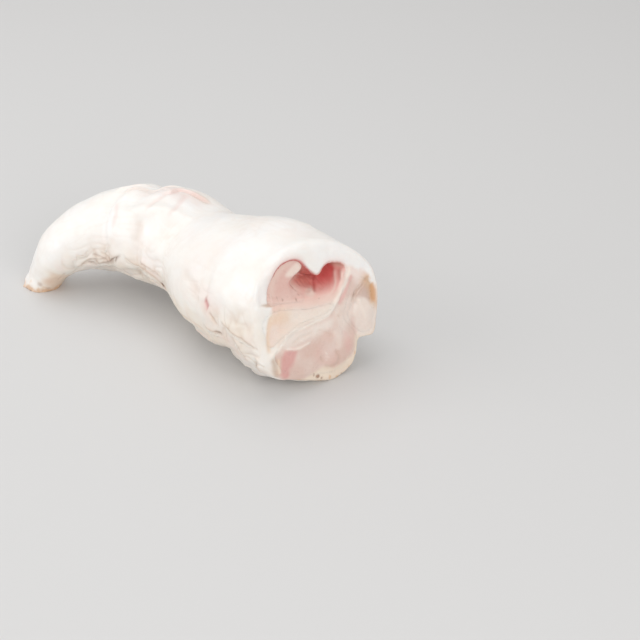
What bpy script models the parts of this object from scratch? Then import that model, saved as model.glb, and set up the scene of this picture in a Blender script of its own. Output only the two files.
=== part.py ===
"""One raw beef tendon, lying on its side.

A thick white sheath wraps four cords of tendon that run along it. The thick end is cut across, a little
askew and leaning back, and shows the cords, the rim of the sheath and a two-lobed pocket under a flap of it.
The other end narrows to a tail that droops until its ragged end meets the surface.

Metres, +Z up, origin under the middle of the piece. X runs from the tail to the cut. Sizes below are in mm.
"""

import math

import bmesh
import bpy
from mathutils import Vector, noise

MM = 0.001
GAP = 0.3

# The middle line from the tail's end to the cut: x, y, z, then the half width and half height there.
STATIONS = (
    (-81.0, -22.0, -4.0, 10.5, 8.5),
    (-77.0, -20.5, 5.0, 10.5, 9.0),
    (-72.0, -19.5, 13.5, 12.5, 10.5),
    (-66.5, -16.5, 20.5, 14.5, 13.0),
    (-60.5, -11.5, 25.5, 16.5, 15.5),
    (-54.0, -5.5, 28.5, 18.5, 18.0),
    (-44.5, 1.5, 30.5, 21.5, 20.5),
    (-31.0, 6.5, 32.0, 25.0, 22.5),
    (-17.0, 10.5, 31.0, 26.5, 23.5),
    (3.0, 9.0, 28.0, 26.0, 24.0),
    (27.0, 1.5, 29.5, 31.5, 28.5),
    (46.0, 0.0, 30.5, 35.0, 32.0),
    (63.0, -2.5, 31.0, 36.5, 33.0),
    (79.0, -5.0, 32.0, 34.0, 32.0),
)
SPINE_STEPS = 12

# The cut turns towards -Y and leans back from upright. The rings behind it turn to meet it over CUT_TURN.
CUT_YAW = math.radians(14)
CUT_LEAN = math.radians(12)
CUT_TURN = 45.0
RIM_ROUND = 3.5

# The outline of the cut end as radii about the middle line: degrees from the right, and mm. The step at the
# lower right is where the side cord stands out past the deep one.
CUT_OUTLINE = (
    (0, 36.0),
    (15, 36.0),
    (30, 34.5),
    (50, 32.5),
    (70, 32.5),
    (90, 32.5),
    (112, 34.0),
    (135, 35.5),
    (155, 35.0),
    (180, 33.0),
    (205, 33.5),
    (225, 33.0),
    (245, 31.0),
    (262, 32.0),
    (278, 34.5),
    (294, 35.0),
    (306, 33.0),
    (318, 29.5),
    (326, 36.5),
    (342, 36.0),
)

# Outlines on the cut, as points to the right of the middle line and above it. Each is a smooth closed curve.
POCKET = (
    (-23.5, 11.5),
    (-22.5, 20.0),
    (-18.5, 25.0),
    (-12.5, 27.0),
    (-6.5, 26.5),
    (-2.0, 22.0),
    (2.5, 17.0),
    (6.5, 19.0),
    (11.0, 20.5),
    (16.0, 19.0),
    (17.5, 14.0),
    (13.5, 5.5),
    (4.0, 4.5),
    (-6.0, 6.5),
    (-16.0, 8.5),
)
POCKET_DEPTH = 24.0
POCKET_BACK = (-1.0, 18.0)
POCKET_BACK_SIZE = 0.35

SMALL_TENDON = (
    (-22.5, 13.0),
    (-22.0, 19.0),
    (-18.5, 24.0),
    (-13.0, 26.0),
    (-7.5, 25.5),
    (-5.0, 22.0),
    (-7.0, 18.5),
    (-10.0, 13.5),
    (-16.0, 10.5),
)
# A shallow step in the rim, to the left of the pocket.
NOTCH = (
    (-25.0, 23.5),
    (-27.5, 17.5),
    (-26.5, 11.5),
    (-20.0, 9.5),
    (-19.0, 15.0),
    (-19.0, 22.0),
)
NOTCH_DEPTH = 2.5
DEEP_TENDON = (
    (-24.5, -10.5),
    (-18.0, -5.5),
    (-10.0, -3.2),
    (-2.0, -2.8),
    (5.5, -2.6),
    (10.0, -0.6),
    (14.0, 4.0),
    (17.5, 9.5),
    (20.0, 8.5),
    (18.0, 3.0),
    (15.0, -2.0),
    (14.0, -6.5),
    (19.0, -17.0),
    (16.0, -23.0),
    (10.0, -27.5),
    (3.0, -28.5),
    (-6.0, -26.0),
    (-15.0, -23.5),
    (-22.0, -18.5),
)
# The flat cord between the pocket and the deep cord.
BAND_TENDON = (
    (-27.5, 6.0),
    (-28.0, 0.0),
    (-26.0, -6.5),
    (-18.5, -3.7),
    (-10.0, -1.2),
    (-2.0, -0.9),
    (5.0, -0.7),
    (9.0, 1.3),
    (5.0, 2.6),
    (-3.0, 3.4),
    (-11.0, 5.6),
    (-20.0, 8.0),
)
SIDE_TENDON = (
    (26.0, 8.5),
    (22.5, 5.5),
    (19.0, -1.5),
    (16.3, -6.0),
    (21.5, -15.2),
    (27.5, -16.2),
    (30.0, -10.0),
    (31.0, -3.0),
    (30.0, 4.5),
)

SHEATH_COLOUR = (0.86, 0.79, 0.74)
# Each cord: its outline, how far its face stands behind the cut, how far along it ends, and its colour.
CORDS = {
    "small_tendon": (SMALL_TENDON, 3.0, 118.0, (0.72, 0.40, 0.38)),
    "band_tendon": (BAND_TENDON, 0.0, 112.0, (0.83, 0.68, 0.59)),
    "deep_tendon": (DEEP_TENDON, 0.8, 140.0, (0.74, 0.58, 0.54)),
    "side_tendon": (SIDE_TENDON, 0.0, 104.0, (0.76, 0.62, 0.57)),
}
# Over this length behind the cut the cords shrink to this share of their size, clear of the sheath's skin.
CORD_SLIMMING_LENGTH = 35.0
CORD_SLIMMING = 0.74
# A cord's rounded face and its tapered tip: mm from that end, and the share of its size there.
CORD_FACE = ((0.0, 0.9), (0.5, 0.97), (1.6, 1.0))
CORD_TIP = ((5.4, 0.93), (2.3, 0.72), (0.0, 0.37))
CORD_RUN_START = 9.0
CHANNEL_START = -6.0

# Folds and creases of the sheath: mm back from the cut, degrees round, heading of the fold in degrees from
# straight along the piece, its length, its width, and its depth. A negative depth stands out as a ridge.
FOLDS = (
    (112.0, 75.0, 78.0, 46.0, 3.5, 2.6),
    (126.0, 110.0, 66.0, 30.0, 3.0, 1.6),
    (104.0, 120.0, 10.0, 44.0, 3.5, -2.0),
    (118.0, 208.0, 15.0, 40.0, 4.5, 2.2),
    (92.0, 216.0, -12.0, 40.0, 5.0, 1.8),
    (62.0, 215.0, 18.0, 38.0, 3.5, 1.8),
    (36.0, 222.0, 35.0, 34.0, 3.5, 2.2),
    (20.0, 236.0, 30.0, 26.0, 3.5, -1.4),
    (52.0, 330.0, 12.0, 70.0, 5.0, 2.4),
    (96.0, 345.0, -14.0, 46.0, 4.5, 2.0),
    (140.0, 20.0, 30.0, 34.0, 4.0, 1.6),
)
LUMP_SIZE = 26.0
LUMP_HEIGHT = 1.1
HEM_SIZE = 5.0
HEM_HEIGHT = 1.6
HEM_LENGTH = 14.0

# The underside is flat where it lies on the surface. The block that trims it there is this big.
BLOCK = (240.0, 160.0, 30.0)

# How finely the shapes are divided: points round a ring, and rings. Rim and pocket rings are shares of depth.
AROUND = 50
RINGS = 44
RIM_RINGS = (0.0, 0.2, 0.5, 1.0)
CORD_AROUND = 30
CORD_RINGS = 10
POCKET_AROUND = 40
POCKET_RINGS = (0.0, 0.12, 0.3, 0.5, 0.7, 0.86, 0.96, 1.0)
POCKET_START = -6.0
NOTCH_AROUND = 20


def smooth_step(x):
    x = min(1.0, max(0.0, x))
    return x * x * (3 - 2 * x)


def spline(a, b, c, d, f):
    """Catmull-Rom: the value at fraction f of the way from b to c."""
    return 0.5 * (2 * b + (c - a) * f + (2 * a - 5 * b + 4 * c - d) * f * f + (3 * b - a - 3 * c + d) * f**3)


def smooth_loop(points, count):
    """count points, evenly shared out, on the closed smooth curve through the given ones."""
    fine = []
    for i in range(len(points)):
        near = [points[(i + k) % len(points)] for k in (-1, 0, 1, 2)]
        for f in (0.0, 0.25, 0.5, 0.75):
            fine.append(Vector([spline(*column, f) for column in zip(*near)]))
    fine.append(fine[0])
    lengths = [0.0]
    for a, b in zip(fine, fine[1:]):
        lengths.append(lengths[-1] + (b - a).length)
    loop = []
    i = 0
    for k in range(count):
        want = lengths[-1] * k / count
        while lengths[i + 1] < want:
            i += 1
        loop.append(fine[i].lerp(fine[i + 1], (want - lengths[i]) / (lengths[i + 1] - lengths[i])))
    return loop


def grown(loop, distance):
    """The closed loop of flat points moved outwards, whichever way round it runs."""
    area = sum(a.x * b.y - b.x * a.y for a, b in zip(loop, loop[1:] + loop[:1]))
    turn = distance if area > 0 else -distance
    moved = []
    for before, here, after in zip(loop[-1:] + loop[:-1], loop, loop[1:] + loop[:1]):
        along = (after - before).normalized()
        moved.append(here + Vector((along.y, -along.x)) * turn)
    return moved


def cut_radius(angle):
    """The radius of the cut end's outline at an angle in radians."""
    degrees = math.degrees(angle) % 360
    i = max(k for k, (start, _) in enumerate(CUT_OUTLINE) if start <= degrees)
    count = len(CUT_OUTLINE)
    rows = [CUT_OUTLINE[(i + k) % count] for k in (-1, 0, 1, 2)]
    span = (rows[2][0] - rows[1][0]) % 360
    return spline(*(radius for _, radius in rows), (degrees - rows[1][0]) / span)


def spine():
    """Places along the middle line from the cut back: distance, centre, side, up, half width, half height."""
    level_ahead = Vector((math.cos(CUT_YAW), -math.sin(CUT_YAW), 0))
    ahead = level_ahead * math.cos(CUT_LEAN) + Vector((0, 0, math.sin(CUT_LEAN)))
    cut_side = Vector((math.sin(CUT_YAW), math.cos(CUT_YAW), 0))
    cut_up = ahead.cross(cut_side)
    rows = []
    last = len(STATIONS) - 1
    for i in range(last * SPINE_STEPS, -1, -1):
        k = min(i // SPINE_STEPS, last - 1)
        near = [STATIONS[min(last, max(0, k + j))] for j in (-1, 0, 1, 2)]
        values = [spline(*column, i / SPINE_STEPS - k) for column in zip(*near)]
        rows.append((Vector(values[:3]), values[3], values[4]))
    places = []
    distance = 0.0
    tangent = (rows[0][0] - rows[1][0]).normalized()
    side = Vector((-tangent.y, tangent.x, 0)).normalized()
    for i, (centre, half_width, half_height) in enumerate(rows):
        if i:
            distance += (centre - rows[i - 1][0]).length
            onward = (rows[i - 1][0] - rows[min(i + 1, len(rows) - 1)][0]).normalized()
            side.rotate(tangent.rotation_difference(onward))
            tangent = onward
        share = smooth_step(1 - distance / CUT_TURN)
        level = side.lerp(cut_side, share).normalized()
        up = tangent.cross(side).lerp(cut_up, share)
        up = (up - level * up.dot(level)).normalized()
        places.append((distance, centre, level, up, half_width, half_height))
    return places


PLACES = spine()
LENGTH = PLACES[-1][0]
FIRST_WIDTH, FIRST_HEIGHT = PLACES[0][4:]


def place_at(distance):
    """Centre, side, up and half sizes at a distance back from the cut, or straight out in front of it."""
    if distance <= 0:
        _, centre, side, up, half_width, half_height = PLACES[0]
        return centre + side.cross(up) * -distance, side, up, half_width, half_height
    i = max(k for k, row in enumerate(PLACES[:-1]) if row[0] <= distance)
    near, far = PLACES[i], PLACES[i + 1]
    f = min(1.0, (distance - near[0]) / (far[0] - near[0]))
    centre, side, up = (near[k].lerp(far[k], f) for k in (1, 2, 3))
    half_width, half_height = (near[k] + (far[k] - near[k]) * f for k in (4, 5))
    return centre, side, up, half_width, half_height


def laid(distance, loop):
    """Flat points about the middle line, set in the plane of the piece there."""
    centre, side, up, _, _ = place_at(distance)
    return [centre + side * point.x + up * point.y for point in loop]


def fold_depth(distance, angle, radius):
    """How far the folds sink the sheath at one spot."""
    depth = 0.0
    for back, degrees, heading, length, width, deepest in FOLDS:
        round_it = (angle - math.radians(degrees) + math.pi) % (2 * math.pi) - math.pi
        along, across = distance - back, round_it * radius
        turn = math.radians(heading)
        down_fold = along * math.cos(turn) + across * math.sin(turn)
        off_fold = across * math.cos(turn) - along * math.sin(turn)
        depth += deepest * math.exp(-((off_fold / width) ** 2) - (2 * down_fold / length) ** 4)
    return depth


def sheath_ring(distance):
    """One ring of the sheath's skin, folded and lumpy, and ragged at the tail's end."""
    centre, side, up, half_width, half_height = place_at(distance)
    share = smooth_step(1 - distance / CUT_TURN)
    rim = max(0.0, RIM_ROUND - distance)
    inset = RIM_ROUND - math.sqrt(RIM_ROUND**2 - rim**2)
    hem = max(0.0, 1 - (LENGTH - distance) / HEM_LENGTH)
    ring = []
    for k in range(AROUND):
        angle = 2 * math.pi * k / AROUND
        outward = Vector((math.cos(angle), math.sin(angle)))
        oval = 1 / math.hypot(outward.x / half_width, outward.y / half_height)
        radius = oval + (cut_radius(angle) - oval) * share
        skin = centre + side * outward.x * radius + up * outward.y * radius
        lump = noise.noise(skin / LUMP_SIZE) * LUMP_HEIGHT
        fade = smooth_step(distance / RIM_ROUND / 2)
        radius += (lump - fold_depth(distance, angle, radius)) * fade - inset
        radius += hem * HEM_HEIGHT * noise.noise(skin / HEM_SIZE)
        ring.append(centre + side * outward.x * radius + up * outward.y * radius)
    return ring


def cord_ring(outline, distance, size, margin, count):
    """One ring of a cord, or of the channel it lies in, which keeps a margin round the cord."""
    _, _, _, half_width, half_height = place_at(distance)
    loop = smooth_loop(outline, count)
    middle = sum(loop, Vector((0, 0))) / count
    share = smooth_step(distance / CORD_SLIMMING_LENGTH)
    slim = (1 + (CORD_SLIMMING - 1) * share) * size
    pull = 1 + (CORD_SLIMMING - 1) * share / 2
    loop = [middle * pull + (point - middle) * slim for point in loop]
    loop = [Vector((p.x * half_width / FIRST_WIDTH, p.y * half_height / FIRST_HEIGHT)) for p in loop]
    return laid(distance, grown(loop, margin) if margin else loop)


def solid(name, rings, collection):
    """A closed solid skinned over flat rings of equal count."""
    mesh = bmesh.new()
    loops = [[mesh.verts.new(point * MM) for point in ring] for ring in rings]
    for first, second in zip(loops, loops[1:]):
        for k in range(len(first)):
            mesh.faces.new((first[k - 1], first[k], second[k], second[k - 1]))
    ends = [mesh.faces.new(loop) for loop in (loops[0], loops[-1])]
    bmesh.ops.triangulate(mesh, faces=ends)
    bmesh.ops.recalc_face_normals(mesh, faces=mesh.faces)
    data = bpy.data.meshes.new(name)
    mesh.to_mesh(data)
    mesh.free()
    obj = bpy.data.objects.new(name, data)
    collection.objects.link(obj)
    return obj


def make_sheath(collection):
    """The sheath, before the pocket and the channels are cut."""
    at_rim = [share * RIM_ROUND for share in RIM_RINGS]
    behind = [RIM_ROUND + (LENGTH - RIM_ROUND) * i / RINGS for i in range(1, RINGS + 1)]
    sheath = solid("sheath", [sheath_ring(distance) for distance in at_rim + behind], collection)
    sheath.data.materials.append(make_material("sheath", SHEATH_COLOUR, 0.35))
    return sheath


def make_cord(name, collection, cutters):
    """A cord with a rounded face and a tapered tip, and the cutter for the channel that it lies in."""
    outline, set_back, reach, colour = CORDS[name]
    first, last = set_back + CORD_RUN_START, reach - CORD_RUN_START
    run = [(first + (last - first) * i / (CORD_RINGS - 1), 1.0) for i in range(CORD_RINGS)]
    run += [(reach - back, size) for back, size in CORD_TIP]
    face = [(set_back + back, size) for back, size in CORD_FACE]
    rings = [cord_ring(outline, distance, size, 0.0, CORD_AROUND) for distance, size in face + run]
    cord = solid(name, rings, collection)
    cord.data.materials.append(make_material(name, colour, 0.3))
    channel = [(CHANNEL_START, 1.0), (set_back, 1.0)] + run[:-1] + [(reach + GAP, CORD_TIP[-1][1])]
    rings = [cord_ring(outline, distance, size, GAP, CORD_AROUND) for distance, size in channel]
    solid(name + "_channel", rings, cutters)


def make_pocket(cutters):
    """The cutter for the pocket: two lobes at the cut that close towards the back as its floor rises."""
    loop = smooth_loop(POCKET, POCKET_AROUND)
    back = Vector(POCKET_BACK)
    rings = [laid(POCKET_START, loop)]
    for share in POCKET_RINGS:
        size = POCKET_BACK_SIZE + (1 - POCKET_BACK_SIZE) * math.sqrt(1 - share**2)
        rings.append(laid(share * POCKET_DEPTH, [back + (point - back) * size for point in loop]))
    solid("pocket", rings, cutters)


def make_notch(cutters):
    """The cutter for the step beside the pocket, which it opens into."""
    loop = smooth_loop(NOTCH, NOTCH_AROUND)
    solid("notch", [laid(-RIM_ROUND, loop), laid(NOTCH_DEPTH, loop)], cutters)


def make_block(cutters):
    """The block below the surface that the piece lies on, which trims the underside flat."""
    mesh = bmesh.new()
    bmesh.ops.create_cube(mesh, size=MM)
    bmesh.ops.scale(mesh, vec=BLOCK, verts=mesh.verts)
    bmesh.ops.translate(mesh, vec=(0, 0, -BLOCK[2] / 2 * MM), verts=mesh.verts)
    data = bpy.data.meshes.new("block")
    mesh.to_mesh(data)
    mesh.free()
    cutters.objects.link(bpy.data.objects.new("block", data))


def make_material(name, colour, roughness):
    material = bpy.data.materials.new(name)
    material.use_nodes = True
    shader = material.node_tree.nodes["Principled BSDF"]
    shader.inputs["Base Color"].default_value = (*colour, 1)
    shader.inputs["Roughness"].default_value = roughness
    shader.inputs["Metallic"].default_value = 0
    return material


def cut_out(target, cutters):
    """Cuts every object of the collection from the target."""
    for cutter in cutters.objects:
        cutter.hide_render = True
        cutter.display_type = "WIRE"
    boolean = target.modifiers.new("cuts", "BOOLEAN")
    boolean.operation = "DIFFERENCE"
    boolean.solver = "EXACT"
    boolean.operand_type = "COLLECTION"
    boolean.collection = cutters


def new_collection(name):
    collection = bpy.data.collections.new(name)
    bpy.context.scene.collection.children.link(collection)
    return collection


def main():
    for old in list(bpy.data.objects):
        bpy.data.objects.remove(old)
    parts = new_collection("beef_tendon")
    cutters = new_collection("cutters")
    sheath = make_sheath(parts)
    make_block(cutters)
    make_pocket(cutters)
    make_notch(cutters)
    for name in CORDS:
        make_cord(name, parts, cutters)
    cut_out(sheath, cutters)
    for obj in parts.objects:
        obj.data.shade_smooth()
        obj.data.set_sharp_from_angle(angle=math.radians(50))


if __name__ == "__main__":
    main()
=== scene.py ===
"""Dresses a raw beef tendon: a wet white sheath with its folds and torn membranes, the cords that show
where it is cut, the red pocket under its flap, and a pale table in soft light.

The shapes repeat the solids of the frame, in finer steps and with the low relief that a real piece has.
Lengths are in mm in the tables and sums, and turned to metres where a mesh is made. A place on the skin is
given as mm back from the cut and degrees round the middle line, from 0 at the right over 90 on top. A place
on the cut is given as mm to the right of the middle line and mm above it.
"""

import math  # noqa: E402

import bpy  # noqa: E402
import numpy as np  # noqa: E402
from bpy.props import FloatProperty, FloatVectorProperty, PointerProperty  # noqa: E402
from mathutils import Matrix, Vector, noise  # noqa: E402


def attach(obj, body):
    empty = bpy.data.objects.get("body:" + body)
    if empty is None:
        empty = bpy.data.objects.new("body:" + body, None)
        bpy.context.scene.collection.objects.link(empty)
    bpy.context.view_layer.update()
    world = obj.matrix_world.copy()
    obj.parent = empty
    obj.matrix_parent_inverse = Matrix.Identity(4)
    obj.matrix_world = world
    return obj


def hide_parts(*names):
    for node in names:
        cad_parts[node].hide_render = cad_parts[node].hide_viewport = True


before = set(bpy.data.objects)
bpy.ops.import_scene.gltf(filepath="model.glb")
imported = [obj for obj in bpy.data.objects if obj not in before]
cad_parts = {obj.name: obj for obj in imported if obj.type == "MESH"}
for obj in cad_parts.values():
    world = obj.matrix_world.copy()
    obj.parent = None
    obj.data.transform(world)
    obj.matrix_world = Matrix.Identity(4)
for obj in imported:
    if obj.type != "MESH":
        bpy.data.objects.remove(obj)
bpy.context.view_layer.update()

bl_info = {
    "name": "Raw Beef Tendon",
    "version": (1, 0, 0),
    "blender": (4, 5, 0),
    "location": "3D View > Sidebar > Tendon",
    "description": "Builds a raw beef tendon with its sheath, cords and pocket, and a table to show it on",
    "category": "Object",
}

MM = 0.001

# The middle line from the tail's end to the cut: x, y, z, then the half width and half height there.
STATIONS = (
    (-81, -22, -4, 10.5, 8.5),
    (-77, -20.5, 5, 10.5, 9),
    (-72, -19.5, 13.5, 12.5, 10.5),
    (-66.5, -16.5, 20.5, 14.5, 13),
    (-60.5, -11.5, 25.5, 16.5, 15.5),
    (-54, -5.5, 28.5, 18.5, 18),
    (-44.5, 1.5, 30.5, 21.5, 20.5),
    (-31, 6.5, 32, 25, 22.5),
    (-17, 10.5, 31, 26.5, 23.5),
    (3, 9, 28, 26, 24),
    (27, 1.5, 29.5, 31.5, 28.5),
    (46, 0, 30.5, 35, 32),
    (63, -2.5, 31, 36.5, 33),
    (79, -5, 32, 34, 32),
)
SPINE_STEPS = 12
# How the cut is turned, and over which length behind it the piece takes up that turn and the cut's outline.
CUT_YAW = math.radians(14)
CUT_LEAN = math.radians(12)
CUT_TURN = 45.0
RIM_ROUND = 3.5
# The sheath's radius at the cut, by degrees round.
CUT_OUTLINE = (
    (0, 36), (15, 36), (30, 34.5), (50, 32.5), (70, 32.5), (90, 32.5), (112, 34), (135, 35.5), (155, 35),
    (180, 33), (205, 33.5), (225, 33), (245, 31), (262, 32), (278, 34.5), (294, 35), (306, 33), (318, 29.5),
    (326, 36.5), (342, 36),
)
# Hollows are cut from this far in front of the cut, to go clean through it.
FRONT = -6.0

# Outlines on the cut. Each is a smooth closed curve.
POCKET = (
    (-21.4, 13), (-20.8, 18.3), (-19.5, 22.4), (-17.3, 25.3), (-14.2, 27.1), (-10.6, 27.5), (-7.2, 27),
    (-4.4, 25.2), (-2.4, 22.4), (-0.2, 19.6), (2.2, 17.4), (4.4, 17), (6.2, 19), (8.6, 20.3), (11.6, 20.1),
    (15.2, 19), (17.8, 17), (18.4, 13.2), (16.4, 8.4), (12.6, 5.8), (8.1, 5.2), (3.7, 5.2), (-1.6, 6.4),
    (-7.9, 7.9), (-13, 9.4), (-18.6, 10.8),
)
# The pocket's floor starts at this line on the cut and slopes down from it: gently over its lip, then more
# steeply, by how far right.
POCKET_FLOOR = (
    (-23, 13), (-20, 11.4), (-18.6, 11), (-13, 9.6), (-7.9, 8.1), (-1.6, 6.7), (3.7, 5.6), (8.1, 5.6),
    (12.2, 6.4), (15.2, 8.2), (17.5, 13),
)
FLOOR_LIP = 3.0
FLOOR_CURVE = 5
FLOOR_SLOPES = ((-10, 0.5), (0, 1.7))
POCKET_WALL_SLOPE = 5.0
POCKET_CENTRE = (3.5, 11.0)
# The left lobe of the pocket is a shallow dish over the small cord. The rest goes deep.
DISH_DEPTH = 3.6
POCKET_DEPTH = 22.0
DISH_ENDS = (-9.5, -5.0)
POCKET_SOFTNESS = 0.35
DEEPEST = 60
# How far right and up on the cut a place shows, for each mm that it lies behind it, to a viewer in front
# and to the left, and down to which depth.
SEEN_SHIFT = (-0.686, 0.474)
SEEN_DEPTH = 25
# The colours of the pocket by where they show on the cut, and the marks on its walls, given as those of the
# cut are.
POCKET_PAINT = (
    ("gap_red", ((-3.6, 27), (-0.5, 22), (3, 20), (1, 12.2), (-2.5, 13.4), (-6.8, 15.4), (-9.8, 18.2),
        (-6.5, 19.8), (-4.6, 22)), 2.2, 0.9),
    ("wall_red", ((8, 28), (1.4, 22), (1, 16), (0.4, 12.8), (4.4, 11), (9.5, 10.8), (14.5, 12), (20, 17),
        (18, 26)), 4.2, 1),
    ("wall_pink", ((12.9, 24), (12.7, 16), (12.2, 12), (10.8, 8), (7.4, 4.4), (16, 5), (22, 12), (22, 22)),
        0.9, 0.75),
    ("lobe_light", ((-3.4, 12.4), (-0.9, 12.6), (0.5, 11), (0.1, 8.6), (-2.7, 9), (-4.8, 10.6)), 1.1, 0.8),
    # Painted shade under the pocket's upper rim, at its top right.
    ("tan", ((8.5, 22.5), (13.1, 21.4), (18.6, 19), (17.6, 16.8), (12, 18.8)), 1, 0.5),
    # Under the flap's left edge: partly the red of the cut edge, partly painted shadow under the flap.
    ("edge_red", ((-6, 26.4), (-3, 24.6), (0.4, 20.6), (2.6, 18.6), (-2, 18), (-6.4, 20), (-5.4, 23.4)),
        1.4, 0.45),
)
POCKET_MARKS = (
    ("ridge", ((12.8, 17), (12.3, 13), (11.4, 8.9), (6.8, 4.6)), 0.6, 0.25, "lobe_pale", 0.55),
    ("ridge", ((15.8, 16), (15.5, 11.6), (13.4, 7.8), (8.2, 3.6)), 0.7, 0.25, "lobe_pale", 0.65),
    ("groove", ((14.3, 17), (14, 12), (12.3, 8.2), (8.4, 5)), 0.8, 0.15, "wall_red", 0.2),
    # Painted shadow along the seam that parts the pocket's two sides, over a shallow groove.
    ("groove", ((1.6, 18), (0.8, 14.3), (0.4, 11), (0.6, 9.6)), 0.6, 0.6, "edge_red", 0.6),
    ("ridge", ((-3.6, 11.2), (-1.6, 10.9), (0.4, 10)), 1.8, 0.6, "lobe_light", 0.3),
    # Thin dark red lines along both lower edges of the flap, with no relief: partly the cut edge's red,
    # partly painted shadow under the flap.
    ("groove", ((-4.2, 26), (-2.6, 23.4), (-0.6, 20.7), (1.4, 18.6), (3.6, 18)), 1, 0, "edge_red", 0.9),
    ("groove", ((2.2, 17.8), (4.7, 19.2), (6.4, 21), (9, 22.2)), 0.9, 0, "edge_red", 0.75),
)
# The small cord's rounded end, which reaches a little past the solid's outline into the pocket.
LOBE = (
    (-23.4, 10.4), (-22.9, 13.4), (-22.1, 18.5), (-20.5, 22.9), (-18, 25.8), (-14.4, 27.6), (-10.6, 28),
    (-7.1, 27.5), (-4.2, 25.9), (-2.5, 23.7), (-2.6, 21.6), (-4.8, 20), (-7.6, 18.9), (-9, 17), (-6.6, 15),
    (-4.4, 12.6), (-3.8, 9.4), (-6, 6.4), (-14, 7.4), (-20, 9),
)
# The lobe's free edge, where it rounds off into the pocket: right, up and how wide the rounding is.
LOBE_EDGE = (
    (-6, 28.6, 2), (-3.2, 25.9, 2.4), (-2, 23.6, 2.8), (-2.5, 21.4, 2.6), (-4.8, 19.8, 2.2),
    (-7.6, 18.7, 2.4), (-9.4, 17, 3.2), (-8.4, 14.5, 5), (-6.6, 12, 7), (-5.6, 9, 8), (-6, 6, 8),
)
LOBE_ROUNDING = 2.4
LOBE_SLOPE = 1.2
# How far the lobe's face stands behind the cut, and its lip, which runs on into the pocket's floor.
LOBE_FACE = 1.3
LOBE_LIP = 2
LOBE_SOFTNESS = 0.2
# How far its border dives under the sheath's wall, low on the lobe, and its lip under the floor's.
LOBE_DIVE = 0.9
LIP_DIVE = 0.35
# The colours of the lobe, given as those of the cut are.
LOBE_PAINT = (
    ("lobe", ((-26, 13), (-25, 20), (-20, 28), (-12, 30), (-2, 28), (2, 22), (-5, 18), (-9, 15), (-13, 13),
        (-18, 13)), 2.2, 1),
    ("lobe_light", ((-25, 10), (-24, 15), (-18, 15), (-12, 13.6), (-11, 9), (-16, 8)), 2.5, 0.3),
    ("lobe_light", ((-22, 15), (-20.5, 23), (-16, 26.4), (-9, 27.8), (-8, 25.6), (-14, 23.4), (-18, 19.5),
        (-19.6, 15)), 1.6, 0.6),
    # The pale rounded edge of the tongue: partly paler tissue, partly a painted highlight where its wet
    # edge catches the light.
    ("lobe_pale", ((-12.4, 21.6), (-9.6, 23.8), (-6, 25.4), (-3.4, 24.6), (-2.2, 22.6), (-3.4, 20.9),
        (-6.4, 19.8), (-9.5, 20)), 1.1, 0.95),
    # Painted shadow under the tongue's free edge.
    ("gap_red", ((-11, 17), (-8.6, 18.6), (-5.6, 19.4), (-3, 20), (0, 19), (-5, 14), (-8, 14.5)), 1.6,
        0.55),
)
# How far the faces of the cords swell from the cut, and over which distance from their outline.
CUT_SWELLS = (("deep_tendon", 0.7, 6), ("side_tendon", 0.9, 4), ("band_tendon", -0.2, 4))
# The shallow step left of the pocket, its depth, and the line of its foot.
NOTCH = (
    (-23.4, 26), (-26.8, 23.4), (-27.6, 18), (-27.4, 12), (-20.4, 10.6), (-20.4, 16), (-19.4, 21.5),
    (-20.4, 24.2),
)
NOTCH_DEPTH = 1.3
NOTCH_FOOT = ((-30, 13.0), (-20, 11.2))
CORD_OUTLINES = {
    "small_tendon": (
        (-22.5, 13), (-22, 19), (-18.5, 24), (-13, 26), (-7.5, 25.5), (-5, 22), (-7, 18.5), (-10, 13.5),
        (-16, 10.5),
    ),
    "band_tendon": (
        (-27.5, 6), (-28, 0), (-26, -6.5), (-18.5, -3.7), (-10, -1.2), (-2, -0.9), (5, -0.7), (9, 1.3),
        (5, 2.6), (-3, 3.4), (-11, 5.6), (-20, 8),
    ),
    "deep_tendon": (
        (-24.5, -10.5), (-18, -5.5), (-10, -3.2), (-2, -2.8), (5.5, -2.6), (10, -0.6), (14, 4), (17.5, 9.5),
        (20, 8.5), (18, 3), (15, -2), (14, -6.5), (19, -17), (16, -23), (10, -27.5), (3, -28.5), (-6, -26),
        (-15, -23.5), (-22, -18.5),
    ),
    "side_tendon": (
        (26, 8.5), (22.5, 5.5), (19, -1.5), (16.3, -6), (21.5, -15.2), (27.5, -16.2), (30, -10), (31, -3),
        (30, 4.5),
    ),
}
# How far each cord's solid stands behind the cut, and how far along it ends.
CORD_ENDS = {
    "small_tendon": (3, 118),
    "band_tendon": (0, 112),
    "deep_tendon": (0.8, 140),
    "side_tendon": (0, 104),
}
CORD_SLIMMING_LENGTH = 35.0
CORD_SLIMMING = 0.74
# The tapered tip of a cord: mm from its end, and the share of its size there.
CORD_TIP = ((5.4, 0.93), (2.3, 0.72), (0, 0.37))
TIP_LENGTH = 9
# Where the rings of the cords' channels stand, up to the long run.
CHANNEL_RINGS = (FRONT, 0.0, 4.0, 9.0)
CHANNEL_RUN = 18
# A cord's fine face reaches this far back, and the plain cord behind it starts a little earlier.
FACE_LENGTH = 12.0
PLAIN_START = 8.0
# How far a cord's face, plain length and tip stand past its outline, and how far its face stands past the
# walls between the cords.
FACE_MARGIN = 0.5
PLAIN_MARGIN = -0.15
TIP_MARGIN = -0.1
FACE_LIFT = 0.06

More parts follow.
